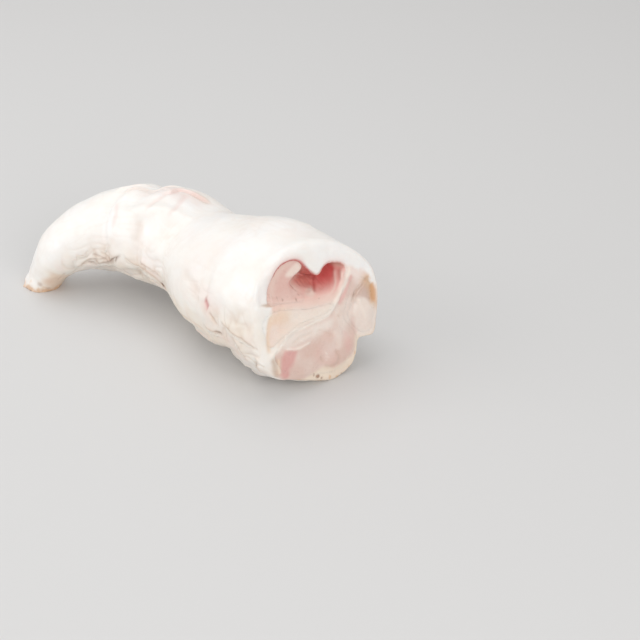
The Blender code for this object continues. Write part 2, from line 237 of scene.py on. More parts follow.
# Folds of the sheath: mm back, degrees round, heading from straight along the piece, length, width, depth.
FOLDS = (
    (112, 75, 78, 46, 3.5, 2.6),
    (126, 110, 66, 30, 3, 1.6),
    (104, 120, 10, 44, 3.5, -2),
    (118, 208, 15, 40, 4.5, 2.2),
    (92, 216, -12, 40, 5, 1.8),
    (62, 215, 18, 38, 3.5, 1.8),
    (36, 222, 35, 34, 3.5, 2.2),
    (20, 236, 30, 26, 3.5, -1.4),
    (52, 330, 12, 70, 5, 2.4),
    (96, 345, -14, 46, 4.5, 2),
    (140, 20, 30, 34, 4, 1.6),
)
LUMP_SIZE = 26.0
LUMP_HEIGHT = 1.1
HEM_SIZE = 5.0
HEM_HEIGHT = 1.6
HEM_LENGTH = 14.0

# Low relief, as layers of blobs: size in mm, seed and height.
SKIN_GRAIN = ((11, 21, 0.45),)
FLANK_GRAIN = ((4.5, 22, 0.2), (1.9, 23, 0.1))
HEM_GRAIN = ((3.2, 24, 0.9), (1.4, 25, 0.4))
TORN_GRAIN = ((2.6, 26, 1.1), (1.1, 27, 0.5))
TORN_SINK = 0.9
CUT_GRAIN = ((7, 31, 0.4), (2.6, 32, 0.16), (1.1, 33, 0.05))
WALL_GRAIN = ((5, 41, 0.4),)
WALL_STREAKS = (((6, 1.3, 1.3), 42, 0.3),)
LOBE_GRAIN = ((5, 61, 0.3), (2.2, 62, 0.14), (1.0, 63, 0.05))
RIM_GRAIN = ((4, 55, 0.9), (1.3, 57, 0.4))
HEM_CLOUDS = ((4, 53, 3), (1.5, 54, 1))
# How far the seed moves the noise that blobs are read from.
SEED_SHIFT = np.array((13.7, -7.1, 3.3))
# Fine creases of the skin: size on each axis and seed, then the size, seed and level of their patches.
WRINKLES = (((16, 4.2, 4.2), 4, 24, 6, 0.35), ((4.6, 11, 11), 5, 19, 7, 0.1))
WRINKLE_BEND = 2.5
WRINKLE_SHARPNESS = 3.2
WRINKLE_CONTRAST = 2.2
WRINKLE_DEPTH = 0.5
# How strongly the fine creases are tinted tan, as painted shade.
WRINKLE_SHADE = 0.3
# How much of the fine relief, and of the tan painted as shade in the creases, the smooth side has against
# the wrinkled flank.
SMOOTH_RELIEF = 0.12
SMOOTH_SHADE = 0.25
# The thin dip along the pocket's upper edge, and where that edge starts.
EDGE_DIP = 0.6
EDGE_FOOT = 12

# Marks on the skin: kind, the line they follow as (mm back, degrees round), width, height, tint and its
# strength. The tan and brown laid along grooves and lips are largely painted shade in their creases; blush
# and red are the skin's own colour.
SKIN_MARKS = (
    ("ridge", ((127, 84), (123, 77), (117, 74), (113, 62)), 0.8, 0.9, "tan", 0.12),
    ("lip", ((124, 88), (116, 80), (108, 70), (101, 58)), 0.9, 0.7, "tan", 0.2),
    ("lip", ((107, 87), (103, 86), (102, 74), (98, 70), (94, 69), (88, 66)), 1.4, 1, "blush", 0.46),
    ("groove", ((98, 74), (96, 92), (94, 110), (93, 126)), 1.2, 0.45, "blush", 0.34),
    ("groove", ((104, 84), (105, 98), (107, 114), (108, 128)), 1.1, 0.45, "blush", 0.3),
    ("groove", ((110, 131), (109, 141), (109, 152), (110, 162)), 1.6, 0.5, "tan", 0.25),
    ("groove", ((123, 112), (120, 130), (122, 150)), 1.1, 0.3, "blush", 0.28),
    ("lip", ((154, 204), (148, 194), (143, 189), (139, 196)), 0.9, 0.9, "tan", 0.6),
    ("lip", ((143, 203), (136, 197), (128, 190), (120, 180), (116, 174)), 0.9, 1.1, "brown", 0.65),
    ("groove", ((132, 186), (128, 193), (126, 203)), 0.7, 0.9, "tan", 0.8),
    ("groove", ((139, 170), (139.5, 186), (141, 204)), 1.1, 0.4, "tan", 0.4),
    ("groove", ((147, 196), (143.5, 202), (140, 208)), 0.8, 0.6, "brown", 0.35),
    ("groove", ((131, 182), (135, 190), (138, 202)), 0.8, 0.35, "tan", 0.3),
    ("groove", ((124, 187), (128, 193), (131, 202)), 0.7, 0.5, "brown", 0.3),
    ("lip", ((145, 186), (140, 190), (134, 190), (129, 195)), 0.6, 0.6, "tan", 0.45),
    ("groove", ((142, 181), (137, 186), (133, 193), (132, 200)), 0.6, 0.5, "brown", 0.3),
    ("groove", ((137, 177), (134, 183), (129, 187)), 0.6, 0.4, "tan", 0.4),
    ("lip", ((141, 197), (136, 200), (131, 199), (127, 203)), 0.5, 0.6, "brown", 0.45),
    ("lip", ((125, 196), (122, 201), (120, 206), (118, 216)), 0.8, 1, "tan", 0.6),
    ("lip", ((115, 174), (113, 180), (110, 184), (99, 185), (90, 186), (83, 190), (81, 200)), 1.1, 1.5,
        "tan", 0.9),
    ("lip", ((106, 177), (98, 178), (91, 179), (84, 180), (75, 182)), 0.8, 1.1, "tan", 0.7),
    ("groove", ((88, 192), (80, 196), (72, 203)), 1, 1.2, "brown", 0.9),
    ("groove", ((38.5, 166.5), (35, 169.5), (31.5, 173)), 1.6, 0.8, "red", 0.9),
    ("groove", ((31, 174), (28, 178), (24, 182)), 0.8, 0.6, "tan", 0.6),
    ("lip", ((42, 190), (36, 191), (30, 190), (25, 188), (22, 189)), 0.9, 1.1, "tan", 0.8),
    ("groove", ((27, 189), (24, 188), (22, 189)), 0.8, 0.8, "brown", 0.6),
    ("lip", ((22, 176), (19, 179), (15, 182), (11, 184), (7, 185), (4, 187), (1, 190)), 0.9, 1.1, "tan",
        0.75),
    ("lip", ((16, 184), (14, 189), (12, 196), (11, 203), (11, 210)), 0.9, 1, "tan", 0.7),
    ("groove", ((13, 196), (12, 199), (11.5, 203)), 0.8, 0.8, "brown", 0.55),
    ("lip", ((4, 197), (3, 201), (2, 204), (1, 208)), 0.7, 0.9, "tan", 0.45),
    ("lip", ((3, 199), (4, 203), (7, 212), (9, 220)), 0.8, 1.1, "tan", 0.65),
    ("groove", ((53, 153), (49, 157), (45, 162), (43, 167)), 1.8, 0.3, "tan", 0.22),
    ("groove", ((60, 200), (50, 198), (42, 200)), 1.2, 0.8, "tan", 0.35),
    ("lip", ((70, 206), (58, 210), (46, 208), (36, 212)), 1, 1.1, "tan", 0.4),
)
# Random marks on the rest of the skin: seed, how many, from and to how many degrees round, and height.
# Random films: the same without a height.
RANDOM_MARKS = ((4, 40, 205, 320, 0.8), (9, 20, -40, 60, 0.5))
RANDOM_FILMS = (3, 9, 210, 330)
# Places along a random line, as shares of its length, and degrees round for each mm.
LINE_STEPS = (-0.5, -0.17, 0.17, 0.5)
DEGREES_PER_MM = 2.2
# A lip, the lifted edge of a layer: how sharply it turns over, how far it runs back, its crease's depth.
LIP_TURN = 0.35
LIP_BACK = 3
LIP_CREASE = 0.7
# Soft stains on the skin: mm back, degrees round, how long and wide in mm, tint and its strength.
SKIN_STAINS = (
    (138, 194, 17, 7, "tan", 0.12),
    (126, 186, 12, 5, "tan", 0.16),
    (100, 184, 22, 5, "tan", 0.16),
    (86, 190, 12, 6, "blush", 0.3),
    (2, 285, 4.5, 20, "rim_cream", 0.75),
    (34, 168, 12, 8, "blush", 0.25),
    (14, 190, 14, 8, "tan", 0.2),
    (30, 186, 12, 7, "tan", 0.2),
    (26, 176, 5, 5, "tan", 0.25),
    (34, 168, 4, 3.5, "blush", 0.45),
    (22, 200, 12, 7, "blush", 0.22),
    (52, 196, 18, 8, "rim_cream", 0.3),
    (66, 190, 16, 8, "rim_cream", 0.3),
    (40, 205, 26, 9, "rim_cream", 0.35),
    (96, 196, 24, 8, "rim_cream", 0.35),
    (10, 176, 9, 5, "rim_cream", 0.25),
    (26, 198, 10, 6, "rim_cream", 0.35),
    (171, 214, 10, 8, "fringe", 0.5),
    (135, 208, 1.6, 1.3, "brown", 0.45),
    (125, 187, 1.3, 1.1, "brown", 0.5),
    (137, 204, 1.2, 1.1, "brown", 0.45),
    (176, 172, 2.2, 1.6, "brown", 0.4),
    (177, 196, 2, 1.6, "brown", 0.35),
    (109, 148, 5, 12, "tan", 0.14),
    (48, 159, 7, 8, "tan", 0.1),
    (104, 82, 14, 7, "blush", 0.25),
    (92, 68, 6, 2.5, "tan", 0.4),
    (60, 262, 30, 12, "tan", 0.15),
    (120, 300, 22, 10, "blush", 0.2),
    (84, 345, 20, 9, "tan", 0.15),
    (40, 20, 16, 9, "blush", 0.18),
)
# Clouds of colour on the skin: tint, size, seed, contrast, level, strength, and whether they keep to the
# flank.
SKIN_CLOUDS = (
    ("blush", 17, 52, 1.6, 0.1, 0.08, False),
    ("rim_cream", 7, 58, 2, -0.1, 0.3, True),
    ("blush", 5, 59, 2, -0.2, 0.14, True),
)
HEM_STAIN = 4.5
# How wide the white rim of the sheath is on the cut, by degrees round, and how far back over the rim the
# cut's colours reach.
WHITE_RIM = (
    (0, 0.5), (25, 3), (45, 5.5), (65, 9), (90, 11), (130, 9), (155, 7), (180, 6), (200, 6), (212, 3.2),
    (224, -1), (235, -2), (250, -2.5), (320, -2.5), (340, -1.5),
)
CUT_REACH = ((0, 1.8), (16, 1.8), (34, 0), (200, 0), (225, 0.8), (245, 2.4), (310, 2.4), (340, 1.4))
# The colours of the cut, laid on in this order: tint, its outline as (right, up), how softly it ends, its
# strength.
CUT_PAINT = (
    ("face_pink", ((16, 16), (24, 20), (32, 13), (36, 3), (30, 6), (25, 7), (21, 10), (18, 11)), 2.5, 0.8),
    ("cream", ((-20, -7), (-14, -4), (-8, -3.8), (2, -4.4), (8, -4), (6, -8), (-6, -9), (-16, -10)), 2,
        0.55),
    ("rim_cream", ((-24, -25), (-18.9, -25.6), (-13.6, -26.6), (-7.6, -26.4), (-1.3, -24.6), (4.7, -26.6),
        (9, -26.8), (12.4, -25.8), (14.8, -25.4), (18.2, -23.4), (19.4, -18.5), (27, -19), (24, -34),
        (4, -42), (-18, -38), (-30, -28)), 1.2, 0.75),
    ("rim_cream", ((19, -16), (19, -24), (40, -20), (40, -6), (33.4, -8), (31.6, -13), (27, -16)), 1.3,
        0.6),
    ("band", ((-30, 12.5), (-23.2, 11.8), (-18.6, 11.2), (-13, 9.9), (-7.9, 8.4), (-1.6, 7), (3.7, 6.2),
        (8.1, 6.1), (12, 6.8), (17, 11), (15.2, 8.4), (13, 6), (10.8, 3.4), (9, 0.6), (6.7, -1.5),
        (4.7, -2.4), (0.2, -2.7), (-5.2, -2.4), (-11.8, -2.4), (-16.1, -3.3), (-19.1, -5.8), (-23.5, -7.8),
        (-27.5, -10.8), (-31, -8)), 1, 1),
    ("cream", ((-16, 8), (-16, 1), (-8, -1), (4, -1.5), (9, 1), (11, 5), (0, 5.5), (-10, 8)), 2.5, 0.45),
    ("peach", ((-26, 6.4), (-21, 8), (-14.5, 6.6), (-14.8, 2.2), (-20, 2.4), (-25, 3)), 2.6, 0.6),
    ("face_pink", ((-25, 2), (-21, 1.4), (-20.6, -3), (-23, -5.4), (-26.4, -5)), 1.2, 0.35),
    ("wall_pink", ((-23, 9.5), (-18.6, 8.4), (-13, 7), (-7.9, 5.2), (-1.6, 3.6), (3.7, 2.6), (8.1, 2.8),
        (12.2, 4.2), (15.4, 6.6), (17.5, 10.5), (15, 14), (8, 12), (0, 12), (-8, 13), (-18, 14), (-24, 14)),
        2.4, 0.42),
    ("arm", ((21, 10.5), (18, 11), (13.4, 5), (12.6, 2.4), (13.5, -5), (16.5, -8), (20, -2), (22.6, 3.5)),
        2, 0.3),
    ("side", ((24, 2.4), (21.2, 1.4), (20, -1), (18.5, -6), (18.8, -11), (20.5, -17), (28.5, -18),
        (33, -12), (32.5, -6), (29.5, -2.4), (26.6, 0.8)), 1.2, 0.9),
    # Painted shade in the hollow above the side cord.
    ("side_hollow_shadow", ((31, 7.4), (27.4, 6.6), (24.4, 5), (20.8, 2.2), (22.8, 0.9), (26.2, -0.9), (28.8, -3.4),
        (30.4, 2)), 1.1, 0.8),
    ("side", ((10.6, 0), (16.5, 1.8), (20.2, 1), (18.6, -5), (16.5, -9.5), (12, -9), (8.6, -5.4)), 1.6,
        0.7),
    ("pink_strip", ((20.4, 11.6), (18, 10), (15.4, 7.4), (13.4, 5.2), (11.4, 2.2), (12.4, 0.8), (14.6, 2.6),
        (17.2, 5), (20.8, 9.2)), 0.9, 0.9),
    ("crease", ((26.8, 8.6), (36, 8.2), (36, 0.5), (33, -7), (29.8, -4.6), (28.6, 1.3), (26.8, 5)), 2.6,
        0.62),
    ("patch", ((-19.9, -10.7), (-16.8, -10.2), (-13.7, -12), (-14.2, -14.3), (-16, -16.8), (-17.7, -19.4),
        (-19, -23.2), (-21.7, -23), (-23.3, -20.8), (-22.8, -16.7), (-21.6, -13.4)), 1.4, 0.88),
    ("pink_strip", ((-4, -16), (2, -14.6), (7.4, -17), (9, -22), (6, -25.6), (0, -25), (-3.5, -22)), 2.2,
        0.16),
    ("pink_strip", ((12, -12.6), (14.8, -15), (15.6, -22), (12.6, -22.5)), 1.6, 0.35),
    ("white", ((-38, 14), (-27, 13), (-23.6, 9), (-23.4, 6.6), (-26.2, 2), (-27, -2), (-27.4, -9.8),
        (-26.6, -13), (-25.8, -20), (-26.4, -25), (-32, -30), (-40, -14)), 1.5, 0.95),
    ("white", ((-36, 13.4), (-22.6, 12.2), (-22, 18.5), (-20.6, 22.8), (-18, 26), (-14.4, 27.8),
        (-10.6, 28.2), (-6.9, 27.7), (-3.9, 25.8), (-1.8, 22.9), (0.4, 20.2), (2.6, 18.2), (4.2, 17.9),
        (5.7, 19.6), (8.4, 21), (11.8, 20.9), (15.7, 19.6), (20, 21), (27, 20), (30, 30), (0, 42),
        (-32, 36)), 0.6, 1),
    ("rim_cream", ((-38, 14), (-27, 13), (-23.6, 9), (-23.4, 6.6), (-26.2, 2), (-27.4, -9.8), (-26, -22),
        (-40, -14)), 1.5, 0.2),
    # Painted shade on the floor of the notch.
    ("rim_cream", ((-25.6, 25), (-27.4, 18), (-27, 12.6), (-21.4, 12), (-21.4, 17), (-20, 22),
        (-22.4, 25.2)), 1.2, 0.3),
)
# Marks on the cut: kind, the line as (right, up), width, height, tint and its strength. The taupe and tan
# laid along grooves and steps are painted shade in them.
CUT_MARKS = (
    # The long pale ridge between the band and the deep cord: partly the cut's own pale line, partly painted
    # highlight where its top catches the light.
    ("ridge", ((-27.6, -11.6), (-25.4, -9.6), (-22.6, -8.6), (-19.1, -6.3), (-16.5, -4.1), (-13.5, -3.2),
        (-9.4, -3.4), (-5.2, -3.2), (-1, -2.9), (3.3, -2.6), (6.7, -1.5), (9.6, 1.2), (12, 4), (14.6, 6.5),
        (16.9, 8.6), (18.6, 11.2), (19.8, 13.8), (20.8, 16.4)), 1, 0.4, "ridge_white", 0.8),
    # A broad painted highlight along the same ridge.
    ("ridge", ((-24, -8.4), (-19.4, -5.8), (-15, -3.2), (-8, -2.7), (0, -2.4), (6, -1.2), (9, 1.4)), 2.2,
        0.15, "ridge_white", 0.5),
    ("ridge", ((-19.6, -9.9), (-17.4, -10), (-14.4, -11.2), (-11.3, -11.4), (-8.1, -11.1), (-5.3, -10.6)),
        0.6, 0.4, "ridge_white", 0.65),
    # Painted shade in the groove left of the red patch.
    ("groove", ((-26.2, -11), (-25.4, -14), (-25.2, -17.3), (-24.4, -22.5)), 1.3, 0.5, "taupe_shadow", 0.62),
    ("ridge", ((-23.2, -12), (-23.5, -16.5), (-23.7, -21)), 0.7, 0.5, "peach", 0.6),
    ("groove", ((-22.6, 7.6), (-24.4, 5), (-26.4, 0), (-26.9, -4), (-27, -9.4)), 0.8, 0.25, "peach", 0.8),
    # Painted shade along the step down into the hollow above the side cord.
    ("lip", ((31, 7.6), (28, 6.9), (24.6, 5.2), (21.2, 2.4), (19.4, -1.4)), 0.9, 0.7, "taupe_shadow", 0.35),
    ("groove", ((18.4, -6.6), (18.8, -11.5), (20.6, -16.5)), 0.8, 0.4, "wall_pink", 0.2),
    # Painted shadow along the foot of the notch.
    ("groove", ((-27.4, 12.8), (-25.4, 12.2), (-22.2, 11.3), (-20.4, 11.2)), 0.45, 0.5, "taupe_shadow", 0.6),
    ("groove", ((30.6, 5), (31, 2), (30.9, -1), (30.6, -5.4)), 1.5, 0.5, "orange", 0.6),
    ("ridge", ((22.5, 0), (23.5, -5), (25.5, -11)), 0.9, 0.3, "ridge_white", 0.3),
    ("ridge", ((0.6, -17.2), (1.4, -18.6), (2.7, -20.4)), 0.4, 0.3, "ridge_white", 0.45),
    ("ridge", ((0, -19.6), (1.8, -20.6), (3.5, -21.8)), 0.4, 0.3, "ridge_white", 0.45),
    ("ridge", ((0.2, -21.9), (1.6, -21.7), (2.9, -22.2)), 0.4, 0.25, "ridge_white", 0.4),
    # Painted shade in these two grooves low on the deep cord.
    ("groove", ((6, -18.4), (7.9, -22.4), (6.9, -25.6), (3, -25.8), (-1.1, -23.7)), 0.8, 0.3, "taupe_shadow",
        0.22),
    ("groove", ((-0.8, -18.2), (-1.4, -20.4), (0.2, -23.2)), 0.6, 0.3, "taupe_shadow", 0.2),
    ("ridge", ((7, -9.4), (8.8, -13.4), (9, -16.6), (7.7, -20)), 1.3, 0.25, "ridge_white", 0.3),
    # Painted shade in these three shallow grooves.
    ("groove", ((9.6, -3.5), (11, -4.3), (12.6, -5.1)), 0.6, 0.3, "tan", 0.45),
    ("groove", ((-2, -7), (3, -9), (6, -13)), 0.8, 0.25, "tan", 0.12),
    ("groove", ((-16, -9), (-10, -7.2), (-3, -7)), 0.7, 0.3, "tan", 0.12),
)
# Small dots of dried blood and torn bits on the cut: right, up, size, tint and its strength.
CUT_DOTS = (
    (-16.2, 12.2, 0.5, "brown", 0.55),
    (-9.6, 10, 0.5, "brown", 0.6),
    (-18.6, 13.6, 0.35, "brown", 0.35),
    (-7.2, 11, 0.35, "brown", 0.4),
    (2.4, 6.6, 0.35, "brown", 0.4),
    (-4, -28.1, 1.1, "brown", 0.85),
    (-5.9, -26.6, 0.7, "brown", 0.7),
    (-2, -29.8, 0.7, "brown", 0.75),
    (2.3, -30.7, 0.8, "crease", 0.7),
    (6.4, -32.2, 0.9, "crease", 0.7),
    (9.4, -31.9, 0.7, "brown", 0.5),
    (13.6, -30, 0.8, "crease", 0.6),
    (17.5, -24.5, 0.7, "crease", 0.5),
    (-14, -27.5, 1.4, "crease", 0.5),
    (-18, -26.8, 1, "crease", 0.4),
)
# The paint of the cut ends this far back.
CUT_PAINT_END = 4

# Thin torn films of the sheath's outer layer: the line they hang from as (mm back, degrees round), their
# width, how far their free edge lifts and ruffles, the tint at their root and its strength. The root tint
# is painted shade where the film meets the skin.
FILMS = (
    (((156, 203), (149, 193), (143, 188), (138, 190)), 3.5, 0.8, 0.7, "tan", 0.5),
    (((118, 172), (124, 184), (131, 192), (139, 198), (146, 200)), 4, 1.2, 0.9, "brown", 0.6),
    (((137, 184), (131, 180), (125, 176), (120, 172)), 2.6, 0.9, 0.8, "tan", 0.5),
    (((80, 203), (83, 190), (90, 186), (99, 184), (108, 183), (113, 180), (116, 173)), 3.6, 1.2, 0.9, "tan",
        0.6),
    (((72, 184), (84, 180), (91, 178), (100, 178), (107, 176)), 3, 0.9, 0.7, "blush", 0.5),
    (((22, 189), (30, 190), (36, 191), (43, 190)), 2.4, 0.9, 0.6, "tan", 0.5),
    (((1.5, 190), (7, 185), (11, 184), (15, 182), (21, 177)), 2.6, 0.9, 0.6, "tan", 0.5),
    (((11, 211), (11, 203), (12, 196), (15, 186)), 2.4, 0.9, 0.6, "tan", 0.45),
    (((9, 220), (7, 212), (4.5, 203), (4, 197)), 2.2, 0.9, 0.6, "tan", 0.4),
    (((34, 214), (46, 209), (58, 211), (71, 205)), 3, 0.9, 0.6, "tan", 0.35),
)
FILM_ROWS = 8
FILM_STEP = 0.45
FILM_TAPER = 0.3
# How far a film's root is sunk into the skin, its thickness at its root and at its edge, and how far above
# the table one has to stay to be kept.
FILM_SINK = 0.45
FILM_THICKNESS = (0.42, 0.16)
FILM_CLEARANCE = 0.5

# How fine the meshes are.
SHEATH_AROUND = 260
SHEATH_RINGS = 230
RIM_STEPS = (0.0, 0.08, 0.2, 0.35, 0.5, 0.75, 1.0)
SHEATH_BUDGET = 192000
POCKET_AROUND = 240
POCKET_RINGS = 60
CHANNEL_AROUND = 60
FACE_AROUND = 160
PLAIN_AROUND = 40
LOOP_POINTS = 70
EDGE_POINTS = 90
CHUNK = 20000

# How wet surfaces look: roughness, how much light scatters inside, the wet coat, how clear the fibres are.
FINISHES = {
    "sheath": (0.40, 0.35, 0.25, 0.12),
    "films": (0.36, 0.20, 0.30, 0.12),
    "cord": (0.32, 0.45, 0.40, 0.30),
}
SCATTER_COLOUR = (1.0, 0.9, 0.84)
SCATTER_DEPTH = 0.0013
TABLE_GREY = (0.66, 0.66, 0.66, 1)
SKY = (1.0, 0.985, 0.97, 1)
SKY_STRENGTH = 0.65
# Soft square lights: place, size and power.
LIGHTS = {
    "top_light": ((-0.30, 0.10, 0.90), 0.8, 2.35),
    "front_light": ((0.95, -0.45, 0.55), 0.7, 4.1),
    "side_light": ((-0.60, -0.75, 0.40), 0.8, 3.2),
}
LIGHT_AIM = (0.0, 0.0, 0.03)
CAMERA_PLACE = (0.42591, -0.44692, 0.36667)
CAMERA_AIM = (0.083, -0.008, 0.032)
CAMERA_LENS = 85


def smooth_step(x):
    x = np.clip(x, 0.0, 1.0)
    return x * x * (3 - 2 * x)


def ramp(value, start, end):
    """Smoothly from 0 where a value is at start to 1 where it is at end, which may be the smaller."""
    return smooth_step((value - start) / (end - start))


def bell(gap, width):
    return np.exp(-((gap / width) ** 2))


def read_off(table, at, **options):
    """The value of a table of pairs at some places."""
    return np.interp(at, *zip(*table), **options)


def round_degrees(angle):
    return np.degrees(angle) % 360


def spline(a, b, c, d, f):
    """Catmull-Rom: the value at fraction f of the way from b to c."""
    square, cube = 2 * a - 5 * b + 4 * c - d, 3 * b - a - 3 * c + d
    return 0.5 * (2 * b + (c - a) * f + square * f * f + cube * f**3)


def smooth_loop(points, count):
    """count points, evenly shared out, on the closed smooth curve through the given ones."""
    points = np.array(points, float)
    steps = np.arange(0, 1, 0.05)[:, None]
    corners = [np.roll(points, shift, axis=0) for shift in (1, 0, -1, -2)]
    fine = [spline(*near, steps) for near in zip(*corners)]
    fine = np.concatenate(fine + [fine[0][:1]])
    lengths = run_along(fine)
    want = lengths[-1] * np.arange(count) / count
    return np.stack([np.interp(want, lengths, column) for column in fine.T], axis=1)


def closed_loop(outline, count):
    """A smooth loop with its first point again at its end."""
    loop = smooth_loop(outline, count)
    return np.concatenate([loop, loop[:1]])


def smooth_line(points, step):
    """Points about every step mm on the open smooth curve through the given ones."""
    points = np.array(points, float)
    padded = np.concatenate([points[:1], points, points[-1:]])
    line = [points[:1]]
    for a, b, c, d in zip(padded, padded[1:], padded[2:], padded[3:]):
        count = max(1, int(np.linalg.norm(c - b) / step))
        line.append(spline(a, b, c, d, (np.arange(count)[:, None] + 1) / count))
    return np.concatenate(line)


def run_along(line):
    """How far along a line each of its points is."""
    return np.concatenate([[0], np.cumsum(np.linalg.norm(np.diff(line, axis=0), axis=1))])


def grown(loop, distance):
    """The closed loop of flat points moved outwards, whichever way round it runs."""
    after = np.roll(loop, -1, axis=0)
    area = (loop[:, 0] * after[:, 1] - after[:, 0] * loop[:, 1]).sum()
    along = after - np.roll(loop, 1, axis=0)
    along /= np.linalg.norm(along, axis=1)[:, None]
    outward = np.stack([along[:, 1], -along[:, 0]], axis=1)
    return loop + outward * (distance if area > 0 else -distance)


def off_line(across, down, line):
    """Distance of flat points from a line, the side they are on, and how far along it they are, 0 to 1."""
    best = np.full(len(across), np.inf)
    side = np.zeros(len(across))
    share = np.zeros(len(across))
    total = len(line) - 1
    for i, (a, b) in enumerate(zip(line, line[1:])):
        run = b - a
        f = np.clip(((across - a[0]) * run[0] + (down - a[1]) * run[1]) / (run @ run), 0, 1)
        gap_x, gap_y = across - a[0] - run[0] * f, down - a[1] - run[1] * f
        gap = np.hypot(gap_x, gap_y)
        nearer = gap < best
        best[nearer] = gap[nearer]
        side[nearer] = np.sign(run[0] * gap_y - run[1] * gap_x)[nearer]
        share[nearer] = (i + f[nearer]) / total
    return best, side, share


def edge_gap(right, up, outline):
    """Distance of flat points from a closed outline."""
    return off_line(right, up, closed_loop(outline, EDGE_POINTS))[0]


def inner_gap(right, up, outline):
    """Distance of flat points from a closed outline: above 0 inside it, below 0 outside."""
    loop = closed_loop(outline, LOOP_POINTS)
    gap = off_line(right, up, loop)[0]
    crossings = np.zeros(len(right), bool)
    for a, b in zip(loop, loop[1:]):
        spans = (a[1] > up) != (b[1] > up)
        rise = b[1] - a[1] if b[1] != a[1] else 1.0
        crossings ^= spans & (right < a[0] + (up - a[1]) / rise * (b[0] - a[0]))
    return np.where(crossings, gap, -gap)


def inside(right, up, outline, soft):
    """How far inside a closed outline flat points are: 0 outside, 1 inside, softly between the two."""
    reach = soft + 2
    low, high = np.min(outline, axis=0) - reach, np.max(outline, axis=0) + reach
    near = np.flatnonzero((right > low[0]) & (right < high[0]) & (up > low[1]) & (up < high[1]))
    amount = np.zeros(len(right))
    amount[near] = smooth_step(0.5 + inner_gap(right[near], up[near], outline) / (2 * soft))
    return amount


def middle_line():
    """Places from the cut back: distance, centre, side, up and half sizes, as arrays."""
    level_ahead = Vector((math.cos(CUT_YAW), -math.sin(CUT_YAW), 0))
    ahead = level_ahead * math.cos(CUT_LEAN) + Vector((0, 0, math.sin(CUT_LEAN)))
    cut_side = Vector((math.sin(CUT_YAW), math.cos(CUT_YAW), 0))
    cut_up = ahead.cross(cut_side)
    rows = []
    last = len(STATIONS) - 1
    for i in range(last * SPINE_STEPS, -1, -1):
        k = min(i // SPINE_STEPS, last - 1)
        near = [STATIONS[min(last, max(0, k + j))] for j in (-1, 0, 1, 2)]
        values = [spline(*column, i / SPINE_STEPS - k) for column in zip(*near)]
        rows.append((Vector(values[:3]), values[3:]))
    places = []
    distance = 0.0
    tangent = (rows[0][0] - rows[1][0]).normalized()
    side = Vector((-tangent.y, tangent.x, 0)).normalized()
    for i, (centre, half) in enumerate(rows):
        if i:
            distance += (centre - rows[i - 1][0]).length
            onward = (rows[i - 1][0] - rows[min(i + 1, len(rows) - 1)][0]).normalized()
            side.rotate(tangent.rotation_difference(onward))
            tangent = onward
        share = float(smooth_step(1 - distance / CUT_TURN))
        level = side.lerp(cut_side, share).normalized()
        up = tangent.cross(side).lerp(cut_up, share)
        up = (up - level * up.dot(level)).normalized()
        places.append([distance, *centre, *level, *up, *half])
    return np.array(places)


PLACES = middle_line()
LENGTH = PLACES[-1, 0]
FIRST_HALF = PLACES[0, 10:12]


def place_at(distance):
    """Centres, sides, ups and half sizes at distances back from the cut, or straight out in front of it."""
    distance = np.asarray(distance, float)
    columns = [np.interp(distance, PLACES[:, 0], column) for column in PLACES.T[1:]]
    values = np.stack(columns, axis=-1)
    centre, side, up, half = values[..., 0:3], values[..., 3:6], values[..., 6:9], values[..., 9:11]
    ahead = np.cross(side, up)
    centre = centre + ahead * np.maximum(0, -distance)[..., None]
    return centre, side, up, half


# The way that the cut faces.
CUT_AHEAD = np.cross(*place_at(0)[1:3])


def straighten(points):
    """Each point as mm back from the cut, mm right of the middle line and mm above it."""
    nearest = np.empty(len(points))
    for start in range(0, len(points), CHUNK):
        some = points[start : start + CHUNK]
        gaps = ((some[:, None, :] - PLACES[None, ::3, 1:4]) ** 2).sum(axis=2)
        nearest[start : start + CHUNK] = PLACES[::3, 0][gaps.argmin(axis=1)]
    for _ in range(5):
        centre, side, up, _ = place_at(nearest)
        ahead = np.cross(side, up)
        nearest = np.clip(nearest - ((points - centre) * ahead).sum(axis=1), FRONT, LENGTH + 3)
    centre, side, up, _ = place_at(nearest)
    out = points - centre
    return nearest, (out * side).sum(axis=1), (out * up).sum(axis=1)


def laid(distance, loop):
    """Flat points about the middle line, set in the plane of the piece there."""
    centre, side, up, _ = place_at(distance)
    return centre + side * loop[:, :1] + up * loop[:, 1:]


def turned_out(back, angle, radius):
    """Points at a radius round the middle line."""
    centre, side, up, _ = place_at(back)
    outward = side * np.cos(angle)[:, None] + up * np.sin(angle)[:, None]
    return centre + outward * radius[:, None]


def blobs(points, size, seed=0):
    """Smooth random values of about -1 to 1, in blobs of a size in mm, or of a size for each axis."""
    moved = points / np.asarray(size, float) + SEED_SHIFT * seed
    return np.array([noise.noise(place) for place in moved.tolist()])


def grain(points, layers):
    """The sum of some layers of blobs."""
    return sum(blobs(points, size, seed) * height for size, seed, height in layers)


def on_cut(right, up):
    """Places on the cut as points, for blobs that run on over all that is cut."""
    return np.stack([np.zeros(len(right)), right, up], axis=1)


def shaken(right, up, size, seed, reach):
    """Places on the cut moved about a little, so that what is laid on there ends unevenly."""
    flat = on_cut(right, up)
    return right + blobs(flat, size, seed) * reach, up + blobs(flat, size, seed + 1) * reach


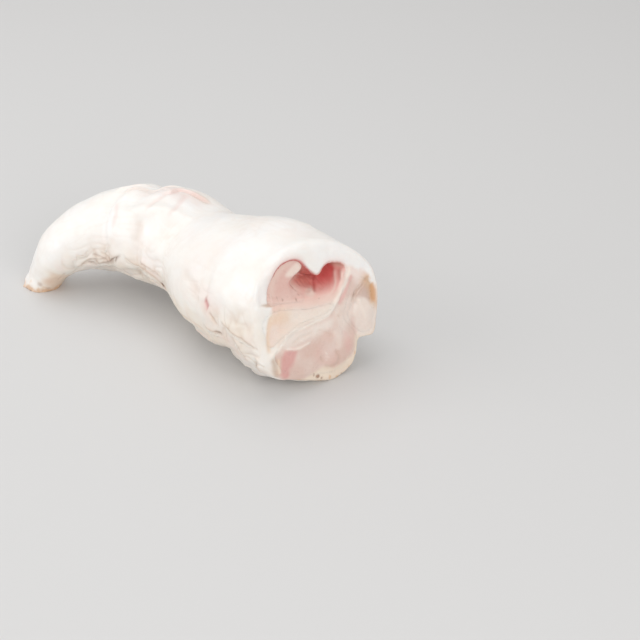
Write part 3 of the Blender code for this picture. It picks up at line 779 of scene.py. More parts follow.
def oval_radius(distance, angle):
    """The sheath's radius before its lumps and folds."""
    half = place_at(distance)[3]
    oval = 1 / np.hypot(np.cos(angle) / half[..., 0], np.sin(angle) / half[..., 1])
    degrees = round_degrees(angle)
    starts, radii = np.array(CUT_OUTLINE, float).T
    i = np.searchsorted(starts, degrees, side="right") - 1
    count = len(starts)
    span = (starts[(i + 1) % count] - starts[i]) % 360
    near = [radii[(i + k) % count] for k in (-1, 0, 1, 2)]
    cut = spline(*near, (degrees - starts[i]) / span)
    return oval + (cut - oval) * smooth_step(1 - distance / CUT_TURN)


def fold_depth(distance, angle, radius):
    """How far the folds sink the sheath at each place."""
    depth = 0.0
    for back, degrees, heading, length, width, deepest in FOLDS:
        round_it = (angle - math.radians(degrees) + math.pi) % (2 * math.pi) - math.pi
        along, across = distance - back, round_it * radius
        turn = math.radians(heading)
        down_fold = along * math.cos(turn) + across * math.sin(turn)
        off_fold = across * math.cos(turn) - along * math.sin(turn)
        depth = depth + deepest * np.exp(-((off_fold / width) ** 2) - (2 * down_fold / length) ** 4)
    return depth


def skin_radius(distance, angle):
    """The sheath's radius with its lumps, folds, rounded rim and ragged hem."""
    radius = oval_radius(distance, angle)
    skin = turned_out(distance, angle, radius)
    fade = smooth_step(distance / RIM_ROUND / 2)
    rim = np.clip(RIM_ROUND - distance, 0, RIM_ROUND)
    radius = radius + (blobs(skin, LUMP_SIZE) * LUMP_HEIGHT - fold_depth(distance, angle, radius)) * fade
    radius = radius - (RIM_ROUND - np.sqrt(RIM_ROUND**2 - rim**2))
    hem = np.maximum(0, 1 - (LENGTH - distance) / HEM_LENGTH)
    return radius + hem * HEM_HEIGHT * blobs(skin, HEM_SIZE)


def cord_ring(outline, distance, size, margin, count):
    """One ring of a cord, grown by a margin."""
    loop = smooth_loop(outline, count)
    middle = loop.mean(axis=0)
    share = float(smooth_step(distance / CORD_SLIMMING_LENGTH))
    slim = (1 + (CORD_SLIMMING - 1) * share) * size
    pull = 1 + (CORD_SLIMMING - 1) * share / 2
    loop = (middle * pull + (loop - middle) * slim) * place_at(distance)[3] / FIRST_HALF
    return laid(distance, grown(loop, margin))


def settings():
    return bpy.context.scene.tendon_looks


def select_only(*objects):
    bpy.ops.object.select_all(action="DESELECT")
    for obj in objects:
        obj.select_set(True)
    bpy.context.view_layer.objects.active = objects[0]


def solid(name, rings):
    """A closed solid skinned over flat rings of equal count, with its faces pointing out."""
    rings = np.array(rings)
    count, around = rings.shape[:2]
    index = np.arange(count * around).reshape(count, around)
    before = np.roll(index, 1, 1)
    quads = np.stack([before[:-1], index[:-1], index[1:], before[1:]], axis=-1)
    faces = quads.reshape(-1, 4).tolist() + [index[0].tolist(), index[-1][::-1].tolist()]
    data = bpy.data.meshes.new(name)
    data.from_pydata((rings.reshape(-1, 3) * MM).tolist(), [], faces)
    obj = bpy.data.objects.new(name, data)
    bpy.context.scene.collection.objects.link(obj)
    select_only(obj)
    bpy.ops.object.mode_set(mode="EDIT")
    bpy.ops.mesh.select_all(action="SELECT")
    bpy.ops.mesh.normals_make_consistent(inside=False)
    bpy.ops.object.mode_set(mode="OBJECT")
    return obj


def finish_with(obj, kind, **values):
    """Adds a modifier to the object and applies it."""
    modifier = obj.modifiers.new(kind.lower(), kind)
    for name, value in values.items():
        setattr(modifier, name, value)
    select_only(obj)
    bpy.ops.object.modifier_apply(modifier=modifier.name)


def refine(obj, voxel):
    """Gives the object even cells of a size in mm, for its relief."""
    finish_with(obj, "REMESH", mode="VOXEL", voxel_size=voxel * MM, adaptivity=0)
    finish_with(obj, "SMOOTH", factor=0.5, iterations=2)


def combine(obj, other, operation):
    finish_with(obj, "BOOLEAN", object=other, operation=operation, solver="MANIFOLD")
    bpy.data.objects.remove(other)


def read(obj):
    """The object's points in mm, and its normals."""
    points = np.empty(len(obj.data.vertices) * 3)
    obj.data.vertices.foreach_get("co", points)
    normals = np.empty(len(obj.data.vertices) * 3, np.float32)
    obj.data.vertex_normals.foreach_get("vector", normals)
    return points.reshape(-1, 3) / MM, normals.reshape(-1, 3).astype(float)


def write(obj, points):
    obj.data.vertices.foreach_set("co", (points * MM).ravel())
    obj.data.update()


def keep_colours(obj, colours, straight):
    """Stores the paint and the straightened places on the mesh, for the material to read."""
    paint = obj.data.attributes.new("paint", "FLOAT_COLOR", "POINT")
    rgba = np.ones((len(colours), 4), np.float32)
    rgba[:, :3] = np.clip(colours, 0, 1)
    paint.data.foreach_set("color", rgba.ravel())
    place = obj.data.attributes.new("straight", "FLOAT_VECTOR", "POINT")
    place.data.foreach_set("vector", np.stack(straight, axis=1).astype(np.float32).ravel())


def plain(tint, count):
    """One tint of the settings all over."""
    return np.tile(np.array(getattr(settings(), tint)), (count, 1))


def tinted(colours, *layers):
    """The colours mixed in turn towards tints of the settings, by an amount of each at each point."""
    for tint, amount in layers:
        amount = np.clip(amount, 0, 1)[:, None]
        colours = colours * (1 - amount) + np.array(getattr(settings(), tint)) * amount
    return colours


def marked(colours, tints, share=1.0):
    """The colours with the tints of some marks laid on, as far as a share allows."""
    return tinted(colours, *((tint, amount * share) for tint, amount in tints.items()))


def patched(colours, patches, right, up, share=1.0):
    """The colours with soft patches laid on inside their outlines, as far as a share allows."""
    for tint, outline, soft, strength in patches:
        colours = tinted(colours, (tint, share * strength * inside(right, up, outline, soft)))
    return colours


def mark_height(kind, gap, side, width, height):
    """The relief across one mark: a groove, a ridge, or a lip, the lifted edge of a layer over a crease."""
    if kind == "groove":
        return -height * bell(gap, width)
    if kind == "ridge":
        return height * bell(gap, width)
    over = 0.5 + 0.5 * np.tanh(side * gap / (LIP_TURN * width))
    return height * (over * np.exp(-gap / (LIP_BACK * width)) - LIP_CREASE * (1 - over) * bell(gap, width))


def lay_on(tints, tint, near, amount):
    """Keeps the larger of what a tint has at some points and a new amount."""
    so_far = tints.setdefault(tint, np.zeros(near.size))
    so_far[near] = np.maximum(so_far[near], amount)


def bent_line(back, degrees, heading, length, bend):
    """A short line through a place on the skin, that turns a little on its way."""
    line = []
    for step in LINE_STEPS:
        turn = heading + bend * step * 2
        along, across = math.cos(turn) * length * step, math.sin(turn) * length * step
        line.append((back + along, degrees + across * DEGREES_PER_MM))
    return line


def random_marks(seed, count, low, high, height):
    """Short creases and lifted edges strewn over part of the skin, between two angles, up to a height."""
    draw = np.random.default_rng(seed)
    marks = []
    for _ in range(count):
        back, degrees = draw.uniform(6, LENGTH - 12), draw.uniform(low, high)
        line = bent_line(back, degrees, draw.normal(0, 0.35), draw.uniform(8, 26), draw.normal(0, 0.25))
        kind = ("groove", "lip", "ridge")[draw.choice(3, p=(0.4, 0.45, 0.15))]
        # Tan and brown along these marks are mostly painted shade in their creases, blush the skin's own
        # pink.
        tint = ("tan", "blush", "brown")[draw.choice(3, p=(0.6, 0.35, 0.05))]
        rise = height * draw.uniform(0.4, 1.0)
        marks.append((kind, line, draw.uniform(0.6, 1.3), rise, tint, draw.uniform(0.1, 0.35) * height))
    return marks


def random_films(seed, count, low, high):
    """Short films strewn over part of the skin, between two angles."""
    draw = np.random.default_rng(seed)
    films = []
    for _ in range(count):
        back, degrees = draw.uniform(10, LENGTH - 18), draw.uniform(low, high)
        heading = draw.normal(0, 0.45) + math.pi * draw.integers(2)
        line = bent_line(back, degrees, heading, draw.uniform(9, 26), draw.normal(0, 0.4))
        width, lift, ruffle = draw.uniform(1.6, 3.4), draw.uniform(0.4, 0.8), draw.uniform(0.3, 0.6)
        # Their root tint is painted shade where they meet the skin.
        films.append((line, width, lift, ruffle, "tan", 0.3))
    return films


ALL_SKIN_MARKS = sum((random_marks(*row) for row in RANDOM_MARKS), list(SKIN_MARKS))
ALL_FILMS = list(FILMS) + random_films(*RANDOM_FILMS)


def skin_marks(back, angle, radius):
    """The relief of the marks on the skin, and how much of each tint they lay down."""
    height = np.zeros(len(back))
    tints = {}
    for kind, places, width, rise, tint, strength in ALL_SKIN_MARKS:
        middle = math.radians(np.mean([degrees for _, degrees in places]))
        turn = (angle - middle + math.pi) % (2 * math.pi) - math.pi
        along, degrees = np.array(places, float).T
        low, high = along.min() - 12, along.max() + 12
        reach = np.radians(degrees).max() - np.radians(degrees).min() + 0.5
        near = (back > low) & (back < high) & (np.abs(turn) < reach)
        if not near.any():
            continue
        around = np.median(radius[near])
        line = smooth_line(np.stack([along, (np.radians(degrees) - middle) * around], axis=1), 1.5)
        gap, side, share = off_line(back[near], turn[near] * radius[near], line)
        fade = smooth_step(np.minimum(share, 1 - share) / 0.25 + 0.02)
        height[near] += mark_height(kind, gap, side, width, rise) * fade
        # The tint laid along each mark: tan and brown along grooves and lips are largely painted shade in
        # the crease.
        lay_on(tints, tint, near, strength * fade * np.exp(-((gap / width / 1.1) ** 2)))
    return height, tints


def cut_marks(right, up, marks=CUT_MARKS):
    """The relief of the marks on the cut or in the pocket, and how much of each tint they lay down."""
    height = np.zeros(len(right))
    tints = {}
    everywhere = np.ones(len(right), bool)
    for kind, places, width, rise, tint, strength in marks:
        line = smooth_line(places, 0.7)
        gap, side, share = off_line(right, up, line)
        fade = smooth_step(np.minimum(share, 1 - share) * len(line) * 0.7 / 2.5 + 0.05)
        height += mark_height(kind, gap, side, width, rise) * fade
        # Taupe and tan laid along grooves and steps are painted shade; the white on the long ridge is
        # partly painted highlight.
        lay_on(tints, tint, everywhere, strength * fade * np.exp(-((gap / width / 1.3) ** 2)))
    return height, tints


def wrinkles(straight):
    """Fine creases along the piece and across it, in patches: 0 on smooth skin, up to 1 in a crease."""
    bent = straight + WRINKLE_BEND * np.stack([blobs(straight, 9, seed) for seed in (1, 2, 3)], axis=1)
    total = 0.0
    for size, seed, patch_size, patch_seed, level in WRINKLES:
        crease = np.clip(1 - np.abs(blobs(bent, size, seed)) * WRINKLE_SHARPNESS, 0, 1)
        patch = smooth_step(blobs(straight, patch_size, patch_seed) * WRINKLE_CONTRAST + level)
        total = total + crease**2 * patch
    return total


def flank(angle):
    """How far a place is round towards the wrinkled lower left of the piece, 0 to 1."""
    degrees = round_degrees(angle)
    return ramp(degrees, 150, 190) * ramp(degrees, 345, 315)


def notch(right, up):
    """The shallow step left of the pocket, 0 to 1: soft above and at its left, sharp along its foot."""
    foot = smooth_step((up - read_off(NOTCH_FOOT, right)) / 0.7 + 0.5)
    return foot * inside(right, up, NOTCH, 1.8) * ramp(up, 27, 18)


def seen(back, right, up):
    """Where places behind the cut show on it, to a viewer in front and to the left."""
    depth = np.clip(back, 0, SEEN_DEPTH)
    return right + SEEN_SHIFT[0] * depth, up + SEEN_SHIFT[1] * depth


def floor_rise(right, up):
    """How far a place on the cut is above the line where the pocket's floor starts."""
    return up - read_off(POCKET_FLOOR, right)


def least(depths, soft):
    """The least of some depths at each place, rounded off where they cross."""
    return -soft * np.log(sum(np.exp(-np.minimum(depth, DEEPEST) / soft) for depth in depths))


def pocket_depth(right, up):
    """How deep the pocket lies behind the cut at places inside its outline: its slope, walls and end."""
    rise = np.maximum(0, floor_rise(right, up))
    past_lip = FLOOR_LIP**2 / FLOOR_CURVE + (rise - FLOOR_LIP) * read_off(FLOOR_SLOPES, right)
    slope = np.where(rise < FLOOR_LIP, rise**2 / FLOOR_CURVE, past_lip)
    wall = edge_gap(right, up, POCKET) * POCKET_WALL_SLOPE
    end = DISH_DEPTH + (POCKET_DEPTH - DISH_DEPTH) * ramp(right, *DISH_ENDS)
    return least((slope, wall, end), POCKET_SOFTNESS)


def lobe_depth(right, up):
    """How far behind the cut the small cord's face lies: level with the pocket's lip, round at its end."""
    rise = floor_rise(right, up)
    lip = LOBE_LIP**2 / FLOOR_CURVE
    face = LOBE_FACE - (LOBE_FACE - lip) * np.exp(-np.maximum(0, rise - LOBE_LIP) * 1.1)
    depth = np.where(rise < LOBE_LIP, np.maximum(0, rise) ** 2 / FLOOR_CURVE, face)
    edge = smooth_line(LOBE_EDGE, 0.7)
    gap, side, share = off_line(right, up, edge[:, :2])
    width = np.interp(share, np.linspace(0, 1, len(edge)), edge[:, 2])
    inward = np.clip(1 - np.maximum(0, -side * gap) / width, 0, 1)
    depth = depth + LOBE_ROUNDING * (1 - np.sqrt(1 - inward**2)) + LOBE_SLOPE * np.maximum(0, side * gap)
    floor = np.where(up < 16, pocket_depth(right, up), DEEPEST)
    depth = least((depth, floor), LOBE_SOFTNESS)
    depth += LOBE_DIVE * smooth_step(1 - inner_gap(right, up, LOBE) / 1.5) * ramp(up, 17, 15)
    return depth + LIP_DIVE * ramp(rise, 0.8, -0.8)


def cut_relief(right, up):
    """The relief of the cut, which runs on from the cords to the walls between them."""
    height = grain(on_cut(right, up), CUT_GRAIN)
    for name, rise, reach in CUT_SWELLS:
        height += rise * smooth_step(inner_gap(right, up, CORD_OUTLINES[name]) / reach)
    return height + cut_marks(right, up)[0]


def sheath_regions(points, normals):
    """Where each point of the sheath lies, and its shares of skin, cut face and pocket wall."""
    back, right, up = straighten(points)
    angle, radius = np.arctan2(up, right), np.hypot(right, up)
    skin = ramp(skin_radius(back, angle) - radius, 2.6, 1.4)
    face = ramp(normals @ CUT_AHEAD, 0.55, 0.85) * (back < 5)
    return back, right, up, angle, radius, skin * (1 - face), face, (1 - skin) * (1 - face)


def relieve_sheath(obj):
    """Moves the sheath's points by the low relief of its skin, its cut face and its pocket."""
    points, normals = read(obj)
    back, right, up, angle, radius, skin, face, pocket = sheath_regions(points, normals)
    straight = np.stack([back, right, up], axis=1)
    rough = SMOOTH_RELIEF + (1 - SMOOTH_RELIEF) * flank(angle)
    on_skin = skin_marks(back, angle, radius)[0] - wrinkles(straight) * WRINKLE_DEPTH * rough
    on_skin += grain(points, SKIN_GRAIN) + grain(points, FLANK_GRAIN) * rough
    torn = ramp(back, 5, 2) * ramp(round_degrees(angle), 225, 240)
    on_skin += torn * (grain(points, TORN_GRAIN) - TORN_SINK)
    on_skin += ramp(back, LENGTH - 7, LENGTH - 1) * grain(points, HEM_GRAIN)
    edge = bell(edge_gap(right, up, POCKET), 1.0) * (up > EDGE_FOOT)
    on_face = cut_relief(right, up) - EDGE_DIP * edge - NOTCH_DEPTH * notch(right, up)
    on_wall = grain(points, WALL_GRAIN) + grain(straight, WALL_STREAKS)
    on_wall *= 1 - ramp(inner_gap(right, up, LOBE), -2.5, 0)
    on_wall += cut_marks(*seen(back, right, up), POCKET_MARKS)[0]
    points += normals * (skin * on_skin + face * on_face + pocket * on_wall)[:, None]
    points[:, 2] = np.maximum(points[:, 2], 0)
    write(obj, points)


def paint_pocket(colours, back, right, up, wall):
    """Lays the pocket's colours on its walls, from its pale lip to the red behind the flap."""
    wall = wall * np.maximum(ramp(floor_rise(right, up), -0.4, 2.2), ramp(back, 0.8, 2.3))
    seen_right, seen_up = seen(back, right, up)
    mouth = ramp(floor_rise(seen_right, seen_up), -2.5, 3.5) * ramp(seen_right, -12, -4)
    colours = tinted(
        colours,
        ("pocket_floor", wall),
        ("lobe", wall * ramp(right, -5, -11) * 0.9),
        ("wall_pink", wall * mouth * 0.9),
    )
    colours = patched(colours, POCKET_PAINT, seen_right, seen_up, wall)
    colours = marked(colours, cut_marks(seen_right, seen_up, POCKET_MARKS)[1], wall)
    return tinted(colours, ("gap_red", wall * ramp(back, 12, 20) * 0.6))


def paint_pocket_edge(colours, back, right, up, face):
    """The thin red line where the skin is cut round the pocket's left lobe, and the pink about it."""
    gap = inner_gap(right, up, POCKET)
    upper = ramp(up, 15, 20)
    halo = face * bell(gap + 0.6, 1.8) * upper
    edge = bell(gap + 0.1, 0.55) * upper * smooth_step(2.5 - back)
    return tinted(
        colours,
        ("blush", halo * ramp(right, -1, -4) * 0.5),
        ("blush", halo * ramp(right, 5, 8) * 0.3),
        ("edge_red", edge * ramp(right, 2.5, -0.5) * 0.95),
        ("gap_red", edge * ramp(right, 4.5, 6.5) * 0.5),
    )


def dotted(colours, right, up):
    """The colours with the small dots of the cut laid on."""
    right, up = shaken(right, up, 1.5, 75, 0.6)
    for dot_right, dot_up, size, tint, strength in CUT_DOTS:
        gap = np.hypot(right - dot_right, up - dot_up)
        colours = tinted(colours, (tint, strength * smooth_step((size - gap) / 0.5 + 0.5)))
    return colours


def cut_colours(right, up):
    """The colours of the cut face, as they run through the cords and the walls between them."""
    flat = on_cut(right, up)
    colours = tinted(
        plain("flesh", len(right)),
        ("cream", 0.12 + 0.45 * blobs(flat, 8, 71)),
        ("wall_pink", smooth_step(blobs(flat, 6, 72) * 1.5) * 0.15),
    )
    return patched(colours, CUT_PAINT, *shaken(right, up, 3.5, 73, 0.7))


def skin_colours(points, back, right, up, angle, radius, skin):
    """The colours of the skin: its clouds, stains, the painted shade in its creases, and the dried hem at
    the tail.
    """
    flanking, degrees = flank(angle), round_degrees(angle)
    colours = tinted(
        plain("white", len(points)),
        ("cream", 0.25 + 0.5 * blobs(points, 14, 51) + 0.35 * flanking),
        ("rim_cream", 0.18 * flanking),
    )
    for tint, size, seed, contrast, level, strength, on_flank in SKIN_CLOUDS:
        amount = smooth_step(blobs(points, size, seed) * contrast + level) * strength
        colours = tinted(colours, (tint, amount * flanking if on_flank else amount))
    uneven = blobs(points, 6, 56) * 0.5
    for back_at, degrees_at, long, wide, tint, strength in SKIN_STAINS:
        across = np.radians((degrees - degrees_at + 180) % 360 - 180) * radius
        spread = np.hypot((back - back_at) / long, across / wide) + uneven
        colours = tinted(colours, (tint, skin * strength * smooth_step(1.3 - spread)))
    # The tan laid along the fine creases is painted shade, strongest on the wrinkled flank.
    rough = SMOOTH_SHADE + (1 - SMOOTH_SHADE) * flanking
    straight = np.stack([back, right, up], axis=1)
    colours = tinted(colours, ("tan", skin * wrinkles(straight) * WRINKLE_SHADE * rough))
    colours = marked(colours, skin_marks(back, angle, radius)[1], skin)
    hem = smooth_step((HEM_STAIN - points[:, 2] + grain(points, HEM_CLOUDS)) / 3.5)
    return tinted(colours, ("fringe", hem * ramp(back, 154, 162) * 0.75))


def paint_sheath(obj):
    """Paints the sheath: its skin, its cut's white rim, what the cut shows inside that, and the pocket."""
    points, normals = read(obj)
    back, right, up, angle, radius, skin, face, _ = sheath_regions(points, normals)
    colours = skin_colours(points, back, right, up, angle, radius, skin)
    ragged = grain(points, RIM_GRAIN)
    degrees = round_degrees(angle)
    rim = read_off(WHITE_RIM, degrees, period=360) + ragged
    past_reach = back - read_off(CUT_REACH, degrees, period=360) + ragged * 0.7
    bare = 1 - skin * smooth_step(past_reach / 0.8)
    depth = skin_radius(back, angle) - radius
    white = face * smooth_step((rim - depth) / 2.8 + 0.5)
    cut = np.clip(bare * (1 - white), 0, 1)[:, None]
    wall = inside(right, up, POCKET, 0.35) * bare
    colours = colours * (1 - cut) + paint_pocket(cut_colours(right, up), back, right, up, wall) * cut
    colours = paint_pocket_edge(colours, back, right, up, ramp(back, 2.5, 1.0) * bare)
    near_cut = bare * (back < CUT_PAINT_END)
    colours = marked(colours, cut_marks(right, up)[1], near_cut)
    colours += (dotted(colours, right, up) - colours) * near_cut[:, None]
    keep_colours(obj, colours, (back, right, up))


def pocket_cutter():
    """The hollow of the pocket, as a solid to cut away."""
    centre = np.array(POCKET_CENTRE)
    loop = smooth_loop(POCKET, POCKET_AROUND)
    rings = [laid(FRONT, loop)]
    for share in 1 - np.linspace(0, 1, POCKET_RINGS)[:-1] ** 1.4:
        flat = centre + (loop - centre) * share
        rings.append(laid(pocket_depth(flat[:, 0], flat[:, 1]), flat))
    return solid("pocket", rings)


def make_sheath(voxel, budget):
    """The sheath: the skin with its relief, less the pocket and the channels of the cords."""
    angle = 2 * np.pi * np.arange(SHEATH_AROUND) / SHEATH_AROUND
    rim = np.array(RIM_STEPS) * RIM_ROUND
    run = RIM_ROUND + (LENGTH - RIM_ROUND) * (np.arange(SHEATH_RINGS) + 1) / SHEATH_RINGS
    rings = []
    for distance in np.concatenate([rim, run]):
        radius = skin_radius(np.full(SHEATH_AROUND, distance), angle)
        rings.append(laid(distance, np.stack([np.cos(angle) * radius, np.sin(angle) * radius], axis=1)))
    sheath = solid("sheath_skin", rings)
    combine(sheath, pocket_cutter(), "DIFFERENCE")
    refine(sheath, voxel)
    relieve_sheath(sheath)
    for name, outline in CORD_OUTLINES.items():
        reach = CORD_ENDS[name][1]
        run = np.linspace(CHANNEL_RUN, reach - TIP_LENGTH, 8)
        places = [(distance, 1.0) for distance in (*CHANNEL_RINGS, *run)] + [(reach, CORD_TIP[-1][1])]
        rings = [cord_ring(outline, distance, size, 0.0, CHANNEL_AROUND) for distance, size in places]
        combine(sheath, solid(name + "_channel", rings), "DIFFERENCE")
    triangles = sum(len(face.vertices) - 2 for face in sheath.data.polygons)
    if triangles > budget:
        finish_with(sheath, "DECIMATE", ratio=budget / triangles)
    paint_sheath(sheath)
    return sheath


def film_rings(places, width, lift, ruffle, seed):
    """A thin torn film as closed loops along its line, out over its top and back under it."""
    back, angle = np.array(places, float).T
    angle = np.radians(angle)
    around = float(oval_radius(back.mean(), np.array([angle.mean()]))[0])
    line = smooth_line(np.stack([back, angle * around], axis=1), FILM_STEP)
    run = np.gradient(line, axis=0)
    run /= np.linalg.norm(run, axis=1)[:, None]
    across = np.stack([-run[:, 1], run[:, 0]], axis=1)
    length = run_along(line)
    taper = 0.12 + 0.88 * smooth_step(np.minimum(length, length[-1] - length) / (FILM_TAPER * length[-1]))
    spots = np.stack([length, np.zeros(len(length)), np.zeros(len(length))], axis=1)
    ragged = 1 + 0.55 * blobs(spots, 2.6, seed) + 0.35 * blobs(spots, 0.9, seed + 1)
    top, bottom = [], []
    for share in np.linspace(0, 1, FILM_ROWS):
        flat = line + across * (width * taper * ragged * share)[:, None]
        back, angle = np.clip(flat[:, 0], 0, LENGTH), flat[:, 1] / around
        wave = blobs(spots + (0, share * 1.5, 0), 2.2, seed + 2)
        curl = lift * 0.75 * math.sin(share * 2.0) / 0.91 + ruffle * 0.7 * wave * share**1.2
        height = taper * curl - FILM_SINK
        if share:
            height = np.maximum(height, -0.25)
        radius = skin_radius(back, angle) + height
        _, side, up, _ = place_at(back)
        onward = np.cross(side, up) * -np.maximum(0, flat[:, 0] - LENGTH)[:, None]
        thick = FILM_THICKNESS[0] + (FILM_THICKNESS[1] - FILM_THICKNESS[0]) * share
        top.append(turned_out(back, angle, radius) + onward)
        bottom.append(turned_out(back, angle, radius - thick) + onward)
    return np.array(top + bottom[::-1]).transpose(1, 0, 2)


def make_films():
    """The torn films of the whole skin as one piece."""
    pieces = []
    across = np.linspace(0, 1, FILM_ROWS)
    for number, (places, width, lift, ruffle, tint, strength) in enumerate(ALL_FILMS):
        rings = film_rings(places, width, lift, ruffle, 100 + 5 * number)
        if rings[..., 2].min() < FILM_CLEARANCE:
            continue
        share = np.tile(np.concatenate([across, across[::-1]]), len(rings))
        points = rings.reshape(-1, 3)
        colours = tinted(
            plain("white", len(points)),
            ("cream", 0.9 + 0.3 * blobs(points, 5, 81)),
            ("rim_cream", 0.3 + 0.3 * blobs(points, 4, 83)),
            # The root's tint is painted shade where the film meets the skin.
            (tint, strength * (1 - smooth_step(share / 0.75))),
            ("blush", 0.25 * ramp(share, 0.75, 1)),
        )
        pieces.append(solid("film", rings))
        keep_colours(pieces[-1], colours, straighten(points))
    select_only(*pieces)
    bpy.ops.object.join()
    pieces[0].name = "sheath_films"
    return pieces[0]


def make_cord(name, voxel):
    """A cord: its fine face with the relief of the cut, and the plain length that runs on behind it."""
    set_back, reach = CORD_ENDS[name]
    in_pocket = name == "small_tendon"
    outline = LOBE if in_pocket else CORD_OUTLINES[name]
    start, margin = (set_back, 0.0) if in_pocket else (0.0, FACE_MARGIN)
    rings = [cord_ring(outline, d, 1.0, margin, FACE_AROUND) for d in np.linspace(start, FACE_LENGTH, 8)]
    cord = solid(name + "_flesh", rings)
    refine(cord, voxel)
    points, _ = read(cord)
    back, right, up = straighten(points)
    relief = cut_relief(right, up)
    if in_pocket:
        lip = ramp(floor_rise(right, up), 2.4, 0.4)
        calm = ramp(inner_gap(right, up, LOBE), 1.5, 4.5) * (1 - lip)
        relief = start - lobe_depth(right, up) + grain(points, LOBE_GRAIN) * calm + relief * lip
    else:
        relief += FACE_LIFT
    front = ramp(back - start, 2.5, 1.0)
    points += CUT_AHEAD * (front * relief)[:, None]
    write(cord, points)
    outline = CORD_OUTLINES[name]
    run = np.linspace(PLAIN_START, reach - TIP_LENGTH, 10)
    rings = [cord_ring(outline, d, 1.0, PLAIN_MARGIN, PLAIN_AROUND) for d in run]
    rings += [cord_ring(outline, reach - d, size, TIP_MARGIN, PLAIN_AROUND) for d, size in CORD_TIP]
    combine(cord, solid(name + "_back", rings), "UNION")
    paint_cord(cord, in_pocket)
    return cord


def paint_cord(obj, in_pocket):
    """Paints a cord as the cut that it shows in, or as the pocket and its lobe."""
    points, _ = read(obj)
    back, right, up = straighten(points)
    colours = cut_colours(right, up)
    if in_pocket:
        colours = paint_pocket(colours, back, right, up, ramp(back, 60, 40))
        colours = patched(colours, LOBE_PAINT, right, up)
    else:
        colours = marked(colours, cut_marks(right, up)[1])
    keep_colours(obj, dotted(colours, right, up), (back, right, up))


def flesh_material(name, roughness, scatter, coat, fibres):
    """Wet raw tissue: the painted colour, mottled, over a scattering body, with fibres and grain on it."""
    material = bpy.data.materials.new(name)
    material.use_nodes = True
    nodes, links = material.node_tree.nodes, material.node_tree.links

    def wire(node, sockets):
        """Links a node's sockets to other nodes' outputs, or sets them to numbers."""
        for socket, value in sockets.items():
            if isinstance(value, bpy.types.NodeSocket):
                links.new(value, node.inputs[socket])
            else:
                node.inputs[socket].default_value = value

    def add(kind, output, sockets, **options):
        node = nodes.new("ShaderNode" + kind)
        for option, value in options.items():
            setattr(node, option, value)
        wire(node, sockets)
        return node.outputs[output]

    def speckle(source, stretch, size, detail):
        place = add("Mapping", "Vector", {"Scale": stretch, "Vector": source})
        return add("TexNoise", "Fac", {"Scale": size, "Detail": detail, "Vector": place})

    def spread(value, low, high):
        limits = {"From Min": 0.3, "From Max": 0.7, "To Min": low, "To Max": high}
        return add("MapRange", "Result", {"Value": value, **limits})

    paint = add("Attribute", "Color", {}, attribute_name="paint")
    straight = add("Attribute", "Vector", {}, attribute_name="straight")
    place = add("TexCoord", "Object", {})
    mottle = speckle(place, (1, 1, 1), 240, 4)
    fibre = speckle(straight, (0.12, 1, 1), 0.9, 3)
    fine = speckle(place, (1, 1, 1), 1300, 3)
    sockets = {"Factor": spread(mottle, 0.0, 0.3), "A": paint, "B": (0.94, 0.88, 0.85, 1)}
    shade = add("Mix", "Result", sockets, data_type="RGBA", blend_type="MULTIPLY")
    sockets = {"Factor": spread(fibre, 0.0, 0.2 * fibres), "A": shade, "B": (0.93, 0.88, 0.84, 1)}
    pale = add("Mix", "Result", sockets, data_type="RGBA")
    bump = add("Bump", "Normal", {"Strength": 0.7 * fibres, "Distance": 0.0004, "Height": fibre})
    finer = add("Bump", "Normal", {"Strength": 0.2, "Distance": 0.0002, "Height": fine, "Normal": bump})
    body = {
        "Base Color": pale,
        "Roughness": spread(mottle, roughness - 0.08, roughness + 0.1),
        "Subsurface Weight": scatter,
        "Subsurface Radius": SCATTER_COLOUR,
        "Subsurface Scale": SCATTER_DEPTH,
        "Coat Weight": coat,
        "Coat Roughness": 0.14,
        "IOR": 1.4,
        "Normal": finer,
    }
    wire(nodes["Principled BSDF"], body)
    return material


def dress(obj, finish, node):
    """Gives a piece its material, and lets it ride and stand for its node."""
    obj.data.materials.clear()
    obj.data.materials.append(flesh_material(obj.name, *FINISHES[finish]))
    select_only(obj)
    bpy.ops.object.shade_smooth()
    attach(obj, "root")
    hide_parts(node)


def aim(obj, target):
    """Turns a light or the camera towards a point."""
    way = Vector(target) - obj.location
    obj.rotation_euler = way.to_track_quat("-Z", "Y").to_euler()


def length(name, description, default):
    return FloatProperty(name=name, description=description, default=default, unit="LENGTH")


def colour(name, description, default):
    looks = {"subtype": "COLOR", "size": 3, "min": 0, "max": 1}
    return FloatVectorProperty(name=name, description=description, default=default, **looks)


